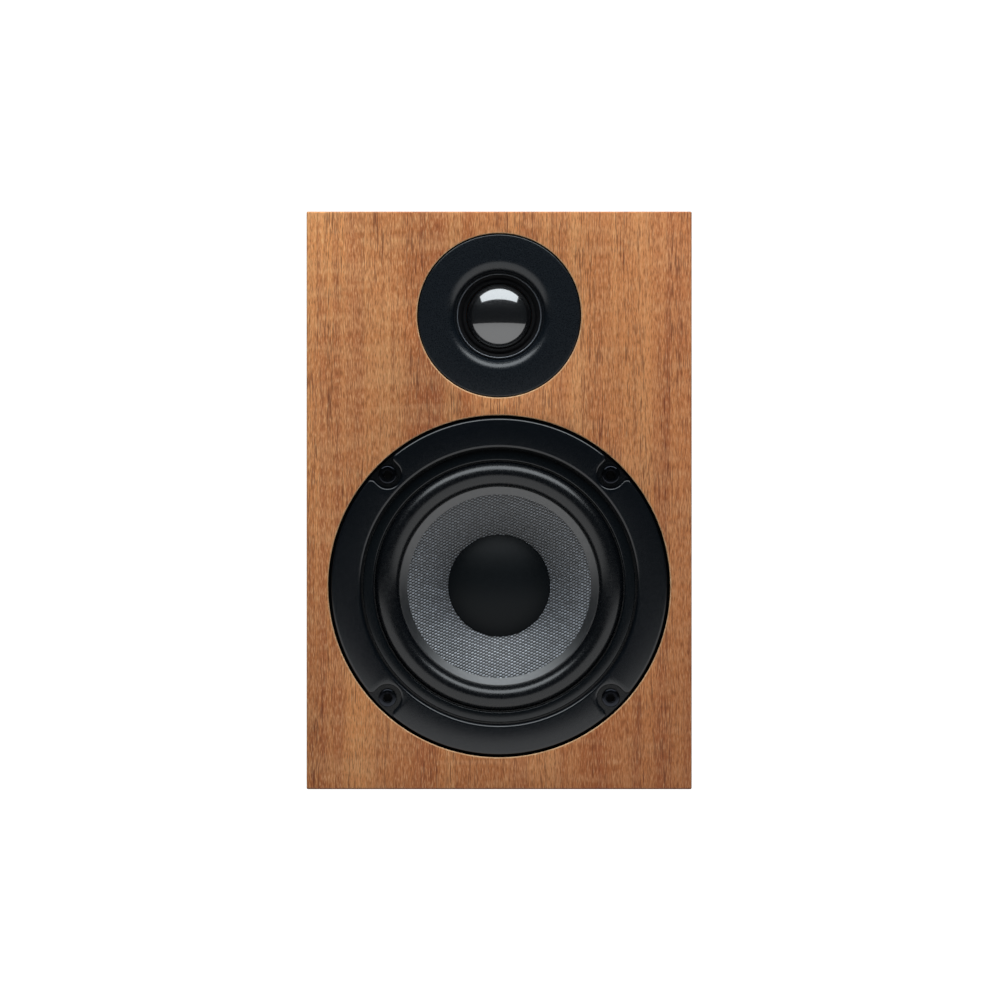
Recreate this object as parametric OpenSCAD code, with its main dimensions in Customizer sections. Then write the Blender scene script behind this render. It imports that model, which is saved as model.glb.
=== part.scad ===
// Two-way bookshelf loudspeaker: veneered box, 130 mm class woofer, 25 mm dome tweeter,
// rear reflex port, recessed terminal cup and an internal crossover.
// Frame: +Z up, front towards -Y, origin at the centre of the flat underside. Millimetres.

/* [Cabinet] */
// Width of the cabinet
cabinet_w = 150; // [146:1:160]
// Height of the cabinet
cabinet_h = 225; // [222:1:240]
// Depth of the cabinet, front face to rear face
cabinet_d = 184; // [180:1:200]
// Thickness of the side, top, bottom and rear boards
board_t = 12; // [11:0.5:12]
// Thickness of the front baffle
baffle_t = 18; // [17:0.5:19]
// Radius of the eased outer edges
edge_r = 0.6; // [0.4:0.1:1]

/* [Woofer] */
// Height of the woofer's axis above the underside
woofer_z = 79; // [79:0.5:81]
// Outer radius of the basket's flange
flange_r = 65.7; // [65.5:0.1:66]
// Gap between the flange and its recess
flange_gap = 0.9; // [0.6:0.1:1]
// Inner radius of the flange's raised face
flange_inner_r = 54; // [53.8:0.1:54.2]
// Radius of the circle that the four screws stand on
screw_circle_r = 61.5; // [61.3:0.1:61.7]
// Radius of the woven cone at its outer edge
cone_r = 38.5; // [38.2:0.1:38.8]
// Depth of the cone from its outer edge to its neck
cone_depth = 19; // [17:0.5:20]
// Radius of the dust cap
dust_cap_r = 20; // [19:0.5:21]
// Travel of the cone each way
cone_travel = 4; // [2:0.5:4]

/* [Tweeter] */
// Height of the tweeter's axis above the underside
tweeter_z = 184.5; // [184:0.5:186]
// Outer radius of the faceplate
faceplate_r = 31.6; // [31.4:0.1:31.8]
// Radius of the throat behind the rounded mouth
throat_r = 17.3; // [17.2:0.1:17.6]
// Radius of the dome at its base
dome_r = 12.7; // [12.5:0.1:12.8]
// Height of the dome
dome_h = 4.6; // [4:0.1:5]

/* [Port] */
// Height of the port's axis above the underside
port_z = 160; // [155:1:165]
// Inner radius of the port tube
port_r = 18; // [16:0.5:19]
// Length of the port, from its mouth to its inner end
port_l = 95; // [80:1:100]

/* [Terminals] */
// Height of the terminal cup's centre above the underside
cup_z = 62; // [60:1:66]
// Distance between the two binding posts
post_pitch = 19; // [19:0.5:20]
// Radius of the socket for a banana plug
socket_r = 2.05; // [2.02:0.01:2.1]
// Depth of the socket
socket_l = 16; // [14:1:16]

/* [Hidden] */
$fn = 96;

inner_w = cabinet_w - 2 * board_t;
inner_top = cabinet_h - board_t;
front_y = -cabinet_d / 2;
rear_y = cabinet_d / 2;

// Woofer levels: 0 is the baffle's front plane, and negative is into the cabinet.
recess_r = flange_r + flange_gap;
recess_depth = 5;
gasket_t = 0.8;
basket_body_r = 57.5;
baffle_bore_r = basket_body_r + 0.5;
flange_edge_r = 1.2;
ledge_z = -4.4;
ledge_inner_r = 48.8;
pocket_r = 5.3;
pocket_corner_r = 2.2;
pocket_floor_z = -3;
screw_shank_r = 2;
screw_head_r = 3.5;
screw_head_h = 2.6;
screw_l = 17;
surround_t = 0.7;
surround_outer_r = 48.3;
surround_inner_r = 39.3;
surround_rise = 3.6;
cone_edge_z = -5.5;
cone_t = 0.8;
cone_flare = 1.35;
former_r = 12.5;
former_t = 0.3;
neck_r = former_r + former_t + 0.1;
shelf_z = -28;
shelf_inner_r = 37.5;
shelf_outer_r = 43;
basket_waist_r = 45.5;
seat_z = -41;
seat_r = 38;
top_plate_t = 5;
magnet_t = 14;
magnet_r = 40;
gap_outer_r = 14;
pole_r = 12;
pole_vent_r = 4;
coil_l = 11;
window_count = 8;
window_w = 20;

// Tweeter levels, measured the same way.
tweeter_recess_r = faceplate_r + 0.35;
tweeter_recess_depth = 4.5;
faceplate_t = 4;
tweeter_body_r = 24.2;
tweeter_bore_r = tweeter_body_r + 0.4;
mouth_r = 21.8;
dome_base_z = -6;
ring_outer_r = 16.6;
dome_t = 0.35;
tweeter_surround_t = 0.3;
tweeter_ledge_z = dome_base_z - tweeter_surround_t / 2;
tweeter_former_t = 0.2;
tweeter_screw_circle_r = 27.5;
tweeter_screw_r = 1.35;
tweeter_screw_hole_r = 2;
tweeter_seat_z = -11;

// Terminal cup levels: 0 is the rear face, and positive is out of the back.
cup_w = 64;
cup_h = 40;
cup_wall = 2;
cup_flange_w = 86;
cup_flange_h = 60;
cup_flange_t = 2.5;
cup_gasket_t = 0.8;
cup_floor_z = -20;
cup_floor_t = 2.5;
cup_back_z = cup_floor_z - cup_floor_t;
cup_corner_r = 6;
cup_screw_x = 38;
cup_screw_y = 25;
cup_screw_r = 1.25;
cup_screw_hole_r = 1.8;
cup_pilot_l = 9;
collar_h = 1.5;
collar_r = 8.2;
clamp_gap = 0.3;
washer_t = 1;
washer_r = 6.9;
stud_r = 3;
stud_fit_r = stud_r + 0.02;
thread_clearance = 0.08;
stud_end_z = -1.4;
nut_t = 3;
tag_t = 0.8;
knob_r = 6.8;
knob_l = 16.5;
knob_flutes = 20;
knob_base_z = cup_floor_z + collar_h + clamp_gap + washer_t + clamp_gap;

// Crossover levels in the cabinet's own frame.
spacer_h = 6;
pcb_t = 1.6;
pcb_w = 96;
pcb_d = 76;
pcb_y = 22;
pcb_top = board_t + spacer_h + pcb_t;
board_screw_r = 1.4;
board_screw_bite = 8;
wire_r = 1.1;
tinsel_r = 0.5;

// Routes of the internal wires, one list of points each, for the positive lead.
// The negative lead runs beside it, mirrored or shifted.
input_route = [
    [9.5, 64.4, 52.5], [9.5, 64.4, 48], [9.6, 63, 42], [10, 59.5, 35], [11, 55.5, 28.5], [12, 50.5, 23.5],
    [13, 44, 20.9],
];
woofer_route = [
    [5, -11, 20.9], [4.8, -17, 22.5], [4.2, -26, 26], [3.7, -36, 28.3], [3.6, -44, 28.6], [3.6, -51, 28.6],
    [3.6, -57, 28.6],
];
tweeter_route = [
    [-44, -6, 20.9], [-45.5, -10, 25], [-47.5, -14, 34], [-48.4, -18, 50], [-48.4, -20, 75],
    [-48.4, -22, 100], [-47, -26, 122], [-42, -34, 142], [-33, -44, 155], [-22, -51, 160.5],
    [-12, -55.5, 162.5], [-5, -57.6, 165],
];
// The negative lead of that pair follows it, then runs on to the second terminal.
tweeter_return_end = [[-9, -50, 160], [0, -52.5, 160.5], [5, -56.5, 163], [5, -57.4, 165.2]];
// From a solder tag through a window of the basket to the back of the cone, in the woofer's own axes.
tinsel_route = [
    [3.6, -49.9, -29.5], [4.6, -51.6, -26], [8.5, -53, -23], [12.6, -50.5, -21.5], [14, -44.5, -21.2],
    [12, -36, -22], [9, -28, -22.6], [6.6, -22, -21.2], [5.6, -19.4, -19.3],
];

// ---------- helpers ----------

// Children drawn with +Z out of the baffle land on the baffle at height z.
module on_baffle(z) {
    translate([0, front_y, z]) rotate([90, 0, 0]) children();
}

// Children drawn with +Z out of the back land on the rear face at height z.
module on_rear(z) {
    translate([0, rear_y, z]) rotate([90, 0, 180]) children();
}

module rounded_rect(w, h, r) {
    union() {
        square([w - 2 * r, h], center = true);
        square([w, h - 2 * r], center = true);
        for (x = [-1, 1], y = [-1, 1]) translate([x * (w / 2 - r), y * (h / 2 - r)]) circle(r);
    }
}

module ring(r_out, r_in, z0, z1) {
    translate([0, 0, z0]) difference() {
        cylinder(r = r_out, h = z1 - z0);
        translate([0, 0, -1]) cylinder(r = r_in, h = z1 - z0 + 2);
    }
}

module around(count, radius, start = 0) {
    for (i = [0:count - 1]) rotate([0, 0, start + i * 360 / count]) translate([radius, 0, 0]) children();
}

function arc(centre, r, from, to, steps) =
    [for (i = [0:steps]) let (a = from + (to - from) * i / steps) centre + r * [cos(a), sin(a)]];

function normal_at(path, i) =
    let (a = path[max(i - 1, 0)], b = path[min(i + 1, len(path) - 1)], d = b - a) [-d[1], d[0]] / norm(d);

// A sheet of thickness t whose middle follows a path of [radius, level] points.
function sheet_outline(path, t) = concat(
    [for (i = [0:len(path) - 1]) path[i] + normal_at(path, i) * t / 2],
    [for (i = [len(path) - 1:-1:0]) path[i] - normal_at(path, i) * t / 2]
);

// A cap of a sphere, base_r wide and h high, with its base on level 0.
module cap_profile(base_r, h, t) {
    sphere_r = (base_r * base_r + h * h) / (2 * h);
    translate([0, h - sphere_r]) intersection() {
        difference() {
            circle(sphere_r);
            circle(sphere_r - t);
        }
        translate([0, sphere_r - h]) square([base_r, h]);
    }
}

// A Catmull-Rom curve through a route, sub points to each stretch.
function spline_point(a, b, c, d, t) =
    0.5 * (2 * b + (c - a) * t + (2 * a - 5 * b + 4 * c - d) * t * t + (3 * b - a - 3 * c + d) * t * t * t);
function spline(route, sub) = concat(
    [
        for (i = [0:len(route) - 2], k = [0:sub - 1])
            spline_point(
                route[max(i - 1, 0)], route[i], route[i + 1], route[min(i + 2, len(route) - 1)], k / sub
            )
    ],
    [route[len(route) - 1]]
);

// A round tube swept along a route of points. across is a direction that the route never follows.
module tube_along(route, r, across = [1, 0, 0], sides = 8, sub = 3) {
    path = spline(route, sub);
    n = len(path);
    function tangent(i) = let (d = path[min(i + 1, n - 1)] - path[max(i - 1, 0)]) d / norm(d);
    points = [
        for (i = [0:n - 1])
            let (
                along = tangent(i),
                side = cross(along, across),
                u = side / norm(side),
                v = cross(along, u)
            )
            for (k = [0:sides - 1])
                let (turn = 360 * k / sides) path[i] + r * (u * cos(turn) + v * sin(turn))
    ];
    walls = [
        for (i = [0:n - 2], k = [0:sides - 1])
            let (here = i * sides, next = here + sides, k2 = (k + 1) % sides)
            [here + k, next + k, next + k2, here + k2]
    ];
    first_end = [for (k = [0:sides - 1]) k];
    last_end = [for (k = [sides - 1:-1:0]) (n - 1) * sides + k];
    polyhedron(points = points, faces = concat([first_end], walls, [last_end]));
}

// ---------- cabinet ----------

module front_baffle() color("peru") {
    difference() {
        intersection() {
            translate([0, front_y + baffle_t, cabinet_h / 2]) rotate([90, 0, 0])
                linear_extrude(baffle_t) rounded_rect(cabinet_w, cabinet_h, edge_r);
            // The front edges are eased, and the back edges stay square against the boards.
            translate([0, front_y + baffle_t, 0]) linear_extrude(cabinet_h)
                translate([0, -baffle_t]) eased_front(cabinet_w);
            translate([-cabinet_w / 2, front_y, cabinet_h / 2]) rotate([90, 0, 90])
                linear_extrude(cabinet_w) rotate(-90) eased_front(cabinet_h);
        }
        on_baffle(woofer_z) {
            translate([0, 0, -recess_depth]) cylinder(r = recess_r, h = recess_depth + 1);
            translate([0, 0, -baffle_t - 1]) cylinder(r = baffle_bore_r, h = baffle_t + 2);
            around(4, screw_circle_r, 45) translate([0, 0, pocket_floor_z - screw_l])
                cylinder(r = screw_shank_r, h = screw_l);
        }
        on_baffle(tweeter_z) {
            translate([0, 0, -tweeter_recess_depth])
                cylinder(r = tweeter_recess_r, h = tweeter_recess_depth + 1);
            translate([0, 0, -baffle_t - 1]) cylinder(r = tweeter_bore_r, h = baffle_t + 2);
            around(3, tweeter_screw_circle_r, 270) translate([0, 0, -baffle_t - 1])
                cylinder(r = tweeter_screw_hole_r, h = baffle_t);
        }
    }
}

// A strip baffle_t deep and w wide, with its two front corners rounded. Front edge on y = 0.
module eased_front(w) {
    union() {
        translate([-w / 2, edge_r]) square([w, baffle_t - edge_r]);
        translate([-w / 2 + edge_r, 0]) square([w - 2 * edge_r, edge_r + 1]);
        for (x = [-1, 1]) translate([x * (w / 2 - edge_r), edge_r]) circle(edge_r);
    }
}

// The four boards behind the baffle are one mitred wrap, cut here into its boards.
module wrap_board(sector) {
    translate([0, rear_y, cabinet_h / 2]) rotate([90, 0, 0]) linear_extrude(cabinet_d - baffle_t)
        intersection() {
            difference() {
                rounded_rect(cabinet_w, cabinet_h, edge_r);
                square([inner_w, cabinet_h - 2 * board_t], center = true);
            }
            polygon(sector);
        }
}

// The mitres run at 45 degrees from each outer corner.
wrap_x = cabinet_w / 2;
wrap_z = cabinet_h / 2;
mitre_in = board_t + 1;
side_sector = [
    [wrap_x + 1, wrap_z + 1], [wrap_x - mitre_in, wrap_z - mitre_in],
    [wrap_x - mitre_in, -wrap_z + mitre_in], [wrap_x + 1, -wrap_z - 1],
];
top_sector = [
    [-wrap_x - 1, wrap_z + 1], [-wrap_x + mitre_in, wrap_z - mitre_in],
    [wrap_x - mitre_in, wrap_z - mitre_in], [wrap_x + 1, wrap_z + 1],
];

module right_side_panel() color("peru") wrap_board(side_sector);
module left_side_panel() color("peru") wrap_board([for (p = side_sector) [-p[0], p[1]]]);
module top_panel() color("peru") wrap_board(top_sector);
module bottom_panel() color("peru") {
    difference() {
        wrap_board([for (p = top_sector) [p[0], -p[1]]]);
        at_board_corners() translate([0, 0, -board_screw_bite])
            cylinder(r = board_screw_r, h = board_screw_bite + 1);
    }
}

module rear_panel() color("dimgray") {
    difference() {
        translate([-inner_w / 2, rear_y - board_t, board_t]) cube([inner_w, board_t, inner_top - board_t]);
        on_rear(port_z) translate([0, 0, -board_t - 1]) cylinder(r = port_r + 3, h = board_t + 2);
        on_rear(cup_z) {
            translate([0, 0, -board_t - 1]) linear_extrude(board_t + 2)
                rounded_rect(cup_w + 2 * cup_wall + 2, cup_h + 2 * cup_wall + 2, cup_corner_r);
            at_cup_screws() translate([0, 0, -cup_pilot_l])
                cylinder(r = cup_screw_r + 0.03, h = cup_pilot_l + 1);
        }
    }
}

wadding_t = 12;
wadding_y = -45;
wadding_l = rear_y - board_t - 1 - wadding_y;
wadding_gap = 0.3;
side_wadding_h = 150;
side_wadding_z = 122.5;
top_wadding_w = 98;

module side_wadding() color("gainsboro") {
    x = inner_w / 2 - wadding_gap - wadding_t / 2;
    for (side = [-1, 1]) translate([side * x, wadding_y + wadding_l / 2, side_wadding_z])
        cube([wadding_t, wadding_l, side_wadding_h], center = true);
}

module top_wadding() color("gainsboro") {
    translate([-top_wadding_w / 2, wadding_y, inner_top - wadding_gap - wadding_t])
        cube([top_wadding_w, wadding_l, wadding_t]);
}

// ---------- woofer ----------

// The pocket round a screw, open to the flange's outer edge, with its mouth corners rounded.
// It is drawn with its screw on the origin and +X outwards.
module screw_pocket() {
    corner_y = pocket_r + pocket_corner_r;
    corner_x = sqrt(pow(flange_r - pocket_corner_r, 2) - corner_y * corner_y) - screw_circle_r;
    union() {
        circle(pocket_r);
        difference() {
            translate([0, -corner_y]) square([8, 2 * corner_y]);
            for (y = [-1, 1]) {
                translate([corner_x, y * corner_y]) circle(pocket_corner_r);
                translate([-1, y * corner_y - pocket_corner_r]) square([corner_x + 1, 2 * pocket_corner_r]);
            }
        }
    }
}

module woofer_basket() color([0.1, 0.1, 0.11]) {
    flange_bottom = -recess_depth + gasket_t;
    difference() {
        rotate_extrude() polygon(concat(
            arc([flange_r - flange_edge_r, -flange_edge_r], flange_edge_r, 0, 90, 6),
            arc([flange_inner_r + flange_edge_r, -flange_edge_r], flange_edge_r, 90, 180, 6),
            [
                [flange_inner_r, ledge_z], [ledge_inner_r, ledge_z], [ledge_inner_r, -7.4], [55, -7.4],
                [55, -13], [shelf_outer_r, shelf_z], [shelf_inner_r, shelf_z], [shelf_inner_r, -31],
                [34.5, -38.5],
                [15, -38.5], [15, seat_z], [seat_r, seat_z], [seat_r, -38], [basket_waist_r, -31],
                [basket_waist_r, shelf_z],
                [basket_body_r, -13], [basket_body_r, flange_bottom], [flange_r, flange_bottom],
            ]
        ));
        // Windows in the conical wall, between the spokes.
        around(window_count, 36, 22.5) translate([0, -window_w / 2, shelf_z + 1]) cube([26, window_w, 17]);
        around(4, screw_circle_r, 45) {
            translate([0, 0, pocket_floor_z]) linear_extrude(4) screw_pocket();
            translate([0, 0, -10]) cylinder(r = screw_shank_r + 0.4, h = 12);
        }
    }
}

module woofer_gasket() color([0.15, 0.15, 0.15]) {
    difference() {
        ring(flange_r - 0.3, baffle_bore_r + 0.3, -recess_depth, -recess_depth + gasket_t);
        around(4, screw_circle_r, 45) translate([0, 0, -10]) cylinder(r = screw_shank_r + 0.4, h = 12);
    }
}

module woofer_trim_ring() color([0.13, 0.13, 0.14]) {
    trim_bottom = ledge_z + surround_t;
    trim_top = trim_bottom + 1.3;
    rotate_extrude() polygon(concat(
        [[53.1, trim_bottom]],
        arc([52.7, trim_top - 0.4], 0.4, 0, 90, 4),
        arc([49.6, trim_top - 0.6], 0.6, 90, 180, 4),
        [[49, trim_bottom]]
    ));
}

surround_half = (surround_outer_r - surround_inner_r) / 2;
surround_mid_r = (surround_outer_r + surround_inner_r) / 2;
surround_arc_r = (surround_half * surround_half + surround_rise * surround_rise) / (2 * surround_rise);
surround_base_z = ledge_z + surround_t / 2;
surround_arc_from = asin((surround_arc_r - surround_rise) / surround_arc_r);

function cone_level(r) = cone_edge_z - cone_depth * pow(1 - (r - neck_r) / (cone_r - neck_r), cone_flare);

module woofer_surround() color([0.12, 0.12, 0.13]) {
    roll = arc(
        [surround_mid_r, surround_base_z + surround_rise - surround_arc_r], surround_arc_r,
        surround_arc_from, 180 - surround_arc_from, 24
    );
    glue_lift = cone_t / 2 + surround_t / 2 + 0.1;
    outer_lip = [[53.4, surround_base_z], [49, surround_base_z]];
    inner_lip = [for (r = [38.6:-0.65:36]) [r, cone_level(min(r, cone_r)) + glue_lift]];
    rotate_extrude() polygon(sheet_outline(concat(outer_lip, roll, inner_lip), surround_t));
}

module woofer_cone() color([0.25, 0.26, 0.28]) {
    steps = 20;
    // The sheet is tilted at its neck, so its edge stands clear of the former.
    start_r = neck_r + 0.3;
    rotate_extrude() polygon(sheet_outline(
        [for (i = [0:steps]) let (r = start_r + (cone_r - start_r) * i / steps) [r, cone_level(r)]], cone_t
    ));
}

dust_cap_h = 5.5;
dust_cap_z = cone_level(dust_cap_r) + 0.7 * cone_t;

module woofer_dust_cap() color([0.1, 0.11, 0.12]) {
    translate([0, 0, dust_cap_z]) rotate_extrude() cap_profile(dust_cap_r, dust_cap_h, 0.6);
}

coil_mid_z = seat_z - top_plate_t / 2;
former_top_z = -21;

module woofer_coil_former() color("lightgray") {
    ring(former_r + former_t, former_r, coil_mid_z - coil_l / 2, former_top_z);
}

module woofer_voice_coil() color([0.72, 0.36, 0.16]) {
    ring(former_r + former_t + 0.6, former_r + former_t, coil_mid_z - coil_l / 2, coil_mid_z + coil_l / 2);
}

module woofer_spider() color("burlywood") {
    flat_z = shelf_z + 0.3;
    waves = 5;
    first = 17;
    last = 37;
    corrugations = [
        for (i = [0:60]) let (r = first + (last - first) * i / 60)
            [r, flat_z + 1.1 * sin(waves * 360 * (r - first) / (last - first))]
    ];
    middle = concat([[neck_r, flat_z], [15, flat_z]], corrugations, [[42.6, flat_z]]);
    rotate_extrude() polygon(sheet_outline(middle, 0.5));
}

module woofer_top_plate() color("silver") ring(seat_r, gap_outer_r, seat_z - top_plate_t, seat_z);

magnet_top_z = seat_z - top_plate_t;
magnet_bottom_z = magnet_top_z - magnet_t;

module woofer_magnet() color([0.2, 0.2, 0.21]) {
    rotate_extrude() polygon([
        [17, magnet_top_z], [magnet_r - 1, magnet_top_z], [magnet_r, magnet_top_z - 1],
        [magnet_r, magnet_bottom_z + 1], [magnet_r - 1, magnet_bottom_z], [17, magnet_bottom_z],
    ]);
}

module woofer_pole_plate() color("silver") {
    rotate_extrude() polygon([
        [pole_vent_r, seat_z], [pole_r - 0.5, seat_z], [pole_r, seat_z - 0.5], [pole_r, magnet_bottom_z],
        [37, magnet_bottom_z], [37, magnet_bottom_z - 4], [36, magnet_bottom_z - 5],
        [pole_vent_r + 2, magnet_bottom_z - 5], [pole_vent_r, magnet_bottom_z - 3],
    ]);
}

// A small tag board under the basket's lowest spoke, with two solder tags.
module woofer_terminal_strip() color("tan") {
    board_outer_y = -basket_waist_r - 3;
    translate([-8, board_outer_y, shelf_z - 10]) cube([16, 3, 10]);
    for (x = [-1, 1]) translate([x * 3.6 - 1.6, board_outer_y - 0.8, shelf_z - 13]) cube([3.2, 0.8, 13]);
}

// Two braided leads, which flex with the cone.
module woofer_tinsel_leads() color("gold") {
    tube_along(tinsel_route, tinsel_r, sub = 4);
    tube_along([for (p = tinsel_route) [-p[0], p[1], p[2]]], tinsel_r, sub = 4);
}

// A socket-head screw, head up from level 0, shank down.
module socket_screw(shank_r, l, head_r, head_h, hex_af) {
    difference() {
        union() {
            cylinder(r = head_r, h = head_h - 0.4);
            translate([0, 0, head_h - 0.4]) cylinder(r1 = head_r, r2 = head_r - 0.4, h = 0.4);
            translate([0, 0, -l]) cylinder(r = shank_r, h = l + 0.1);
        }
        translate([0, 0, head_h - 1.8]) cylinder(r = hex_af / sqrt(3), h = 3, $fn = 6);
    }
}

module woofer_screws() color([0.08, 0.08, 0.08]) {
    around(4, screw_circle_r, 45) translate([0, 0, pocket_floor_z])
        socket_screw(screw_shank_r - 0.05, screw_l - 1, screw_head_r, screw_head_h, 3);
}

// ---------- tweeter ----------

module tweeter_faceplate() color([0.1, 0.11, 0.12]) {
    mouth_w = mouth_r - throat_r;
    difference() {
        rotate_extrude() polygon(concat(
            arc([faceplate_r - 0.5, -0.5], 0.5, 0, 90, 4),
            // The mouth rounds over from the flat face into the throat.
            [for (i = [0:14]) let (a = 90 * i / 14) [mouth_r - mouth_w * sin(a), -4.2 * (1 - cos(a))]],
            [
                [throat_r, -5], [ring_outer_r + 0.1, -5], [ring_outer_r + 0.1, tweeter_ledge_z],
                [14.7, tweeter_ledge_z],
                [14.7, tweeter_seat_z], [tweeter_body_r, tweeter_seat_z], [tweeter_body_r, -faceplate_t],
                [faceplate_r, -faceplate_t],
            ]
        ));
        around(3, tweeter_screw_circle_r, 270) translate([0, 0, -faceplate_t - 1])
            cylinder(r = tweeter_screw_r + 0.05, h = 3.8);
    }
}

module tweeter_gasket() color([0.15, 0.15, 0.15]) {
    difference() {
        ring(faceplate_r - 0.3, tweeter_bore_r + 0.2, -tweeter_recess_depth, -faceplate_t);
        around(3, tweeter_screw_circle_r, 270) translate([0, 0, -10])
            cylinder(r = tweeter_screw_hole_r, h = 12);
    }
}

tweeter_roll_r = 0.7;
tweeter_roll_mid_r = dome_r + 0.25 + tweeter_roll_r;

module tweeter_retaining_ring() color([0.1, 0.1, 0.1]) {
    ring_bottom = dome_base_z + tweeter_surround_t / 2;
    rotate_extrude() polygon(concat(
        [[ring_outer_r, ring_bottom]],
        arc([ring_outer_r - 0.25, ring_bottom + 1.2], 0.25, 0, 180, 6),
        [[ring_outer_r - 0.6, ring_bottom + 0.5], [15.2, ring_bottom + 0.3], [14.9, ring_bottom]]
    ));
}

module tweeter_surround() color([0.1, 0.1, 0.1]) {
    rotate_extrude() polygon(sheet_outline(
        concat(
            [[ring_outer_r - 0.1, dome_base_z], [14.6, dome_base_z]],
            arc([tweeter_roll_mid_r, dome_base_z], tweeter_roll_r, 20, 170, 12)
        ),
        tweeter_surround_t
    ));
}

module tweeter_dome() color([0.07, 0.07, 0.08]) {
    translate([0, 0, dome_base_z]) rotate_extrude() cap_profile(dome_r, dome_h, dome_t);
}

tweeter_plate_t = 3;
tweeter_coil_l = 2.4;
tweeter_coil_mid_z = tweeter_seat_z - tweeter_plate_t / 2;
tweeter_coil_bottom_z = tweeter_coil_mid_z - tweeter_coil_l / 2;

module tweeter_coil_former() color("lightgray") {
    ring(dome_r, dome_r - tweeter_former_t, tweeter_coil_bottom_z, dome_base_z);
}

module tweeter_voice_coil() color([0.72, 0.36, 0.16]) {
    ring(dome_r + 0.3, dome_r, tweeter_coil_bottom_z, tweeter_coil_bottom_z + tweeter_coil_l);
}

tweeter_magnet_top_z = tweeter_seat_z - tweeter_plate_t;
tweeter_magnet_bottom_z = tweeter_magnet_top_z - 8;

module tweeter_top_plate() color("silver") ring(22.6, dome_r + 0.8, tweeter_magnet_top_z, tweeter_seat_z);
module tweeter_magnet() color([0.2, 0.2, 0.21]) ring(22, 15, tweeter_magnet_bottom_z, tweeter_magnet_top_z);

module tweeter_pole_plate() color("silver") {
    rotate_extrude() polygon([
        [0, tweeter_seat_z], [11.7, tweeter_seat_z], [11.9, tweeter_seat_z - 0.2],
        [11.9, tweeter_magnet_bottom_z],
        [22, tweeter_magnet_bottom_z], [22, tweeter_magnet_bottom_z - 3], [0, tweeter_magnet_bottom_z - 3],
    ]);
}

rear_cup_end_z = -30;

module tweeter_rear_cup() color([0.12, 0.12, 0.12]) {
    rotate_extrude() polygon([
        [tweeter_body_r, tweeter_seat_z], [tweeter_body_r, rear_cup_end_z + 1],
        [tweeter_body_r - 1, rear_cup_end_z], [0, rear_cup_end_z], [0, rear_cup_end_z + 1.5],
        [tweeter_body_r - 1.5, rear_cup_end_z + 1.5], [tweeter_body_r - 1.5, tweeter_seat_z],
    ]);
}

module tweeter_terminals() color("gold") {
    for (x = [-1, 1]) translate([x * 5 - 1.4, -18.4, rear_cup_end_z - 6]) cube([2.8, 0.8, 6]);
}

module tweeter_screws() color([0.3, 0.3, 0.3]) {
    around(3, tweeter_screw_circle_r, 270) translate([0, 0, -baffle_t]) rotate([180, 0, 0]) {
        difference() {
            union() {
                cylinder(r = 2.8, h = 1.6);
                translate([0, 0, 1.6]) cylinder(r1 = 2.8, r2 = 2.2, h = 0.5);
                translate([0, 0, -16.4]) cylinder(r = tweeter_screw_r, h = 16.5);
            }
            for (turn = [0, 90]) rotate([0, 0, turn]) translate([-1.6, -0.35, 1]) cube([3.2, 0.7, 2]);
        }
    }
}

// ---------- port ----------

flare_r = 10;
port_wall = 2.4;

module port_tube() color([0.1, 0.1, 0.11]) {
    flange_top = 2.5;
    inner_end = flange_top - port_l;
    lip_r = port_r + flare_r + 3;
    outer_r = port_r + port_wall;
    rotate_extrude() polygon(concat(
        // Mouth: a quarter round from the bore out to the flange.
        arc([port_r + flare_r, flange_top - flare_r], flare_r, 180, 90, 14),
        [[lip_r - 0.6, flange_top], [lip_r, flange_top - 0.6], [lip_r, 0], [outer_r + 0.5, 0]],
        [[outer_r + 0.5, -board_t], [outer_r, -board_t - 2], [outer_r, inner_end + 4]],
        [[outer_r + 3, inner_end + 1.4], [outer_r + 3, inner_end + 0.4], [outer_r + 2.6, inner_end]],
        arc([port_r + 4, inner_end + 4], 4, 270, 180, 8)
    ));
}

// ---------- terminals ----------

module at_cup_screws() {
    for (x = [-1, 1], y = [-1, 1]) translate([x * cup_screw_x, y * cup_screw_y, 0]) children();
}

module terminal_cup() color([0.1, 0.1, 0.11]) {
    flange_z = cup_gasket_t;
    difference() {
        union() {
            translate([0, 0, flange_z]) linear_extrude(cup_flange_t)
                rounded_rect(cup_flange_w, cup_flange_h, 5);
            translate([0, 0, cup_back_z]) linear_extrude(flange_z - cup_back_z + 0.1)
                rounded_rect(cup_w + 2 * cup_wall, cup_h + 2 * cup_wall, cup_corner_r);
        }
        translate([0, 0, cup_floor_z]) linear_extrude(40)
            rounded_rect(cup_w, cup_h, cup_corner_r - cup_wall);
        // Fingers reach the knobs past a sloped rim.
        translate([0, 0, flange_z + cup_flange_t - 1.2]) linear_extrude(2)
            rounded_rect(cup_w + 2.4, cup_h + 2.4, cup_corner_r - 0.8);
        at_cup_screws() translate([0, 0, -1]) cylinder(r = cup_screw_hole_r, h = 6);
        for (side = [-1, 1]) post(side) translate([0, 0, cup_back_z - 1])
            cylinder(r = stud_fit_r, h = cup_floor_t + 2);
    }
    for (side = [-1, 1]) post(side) ring(collar_r, stud_fit_r, cup_floor_z, cup_floor_z + collar_h);
}

module terminal_cup_gasket() color([0.15, 0.15, 0.15]) {
    difference() {
        linear_extrude(cup_gasket_t) rounded_rect(cup_flange_w - 1, cup_flange_h - 1, 5);
        translate([0, 0, -1]) linear_extrude(3)
            rounded_rect(cup_w + 2 * cup_wall + 1, cup_h + 2 * cup_wall + 1, cup_corner_r);
        at_cup_screws() translate([0, 0, -1]) cylinder(r = cup_screw_hole_r, h = 4);
    }
}

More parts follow.
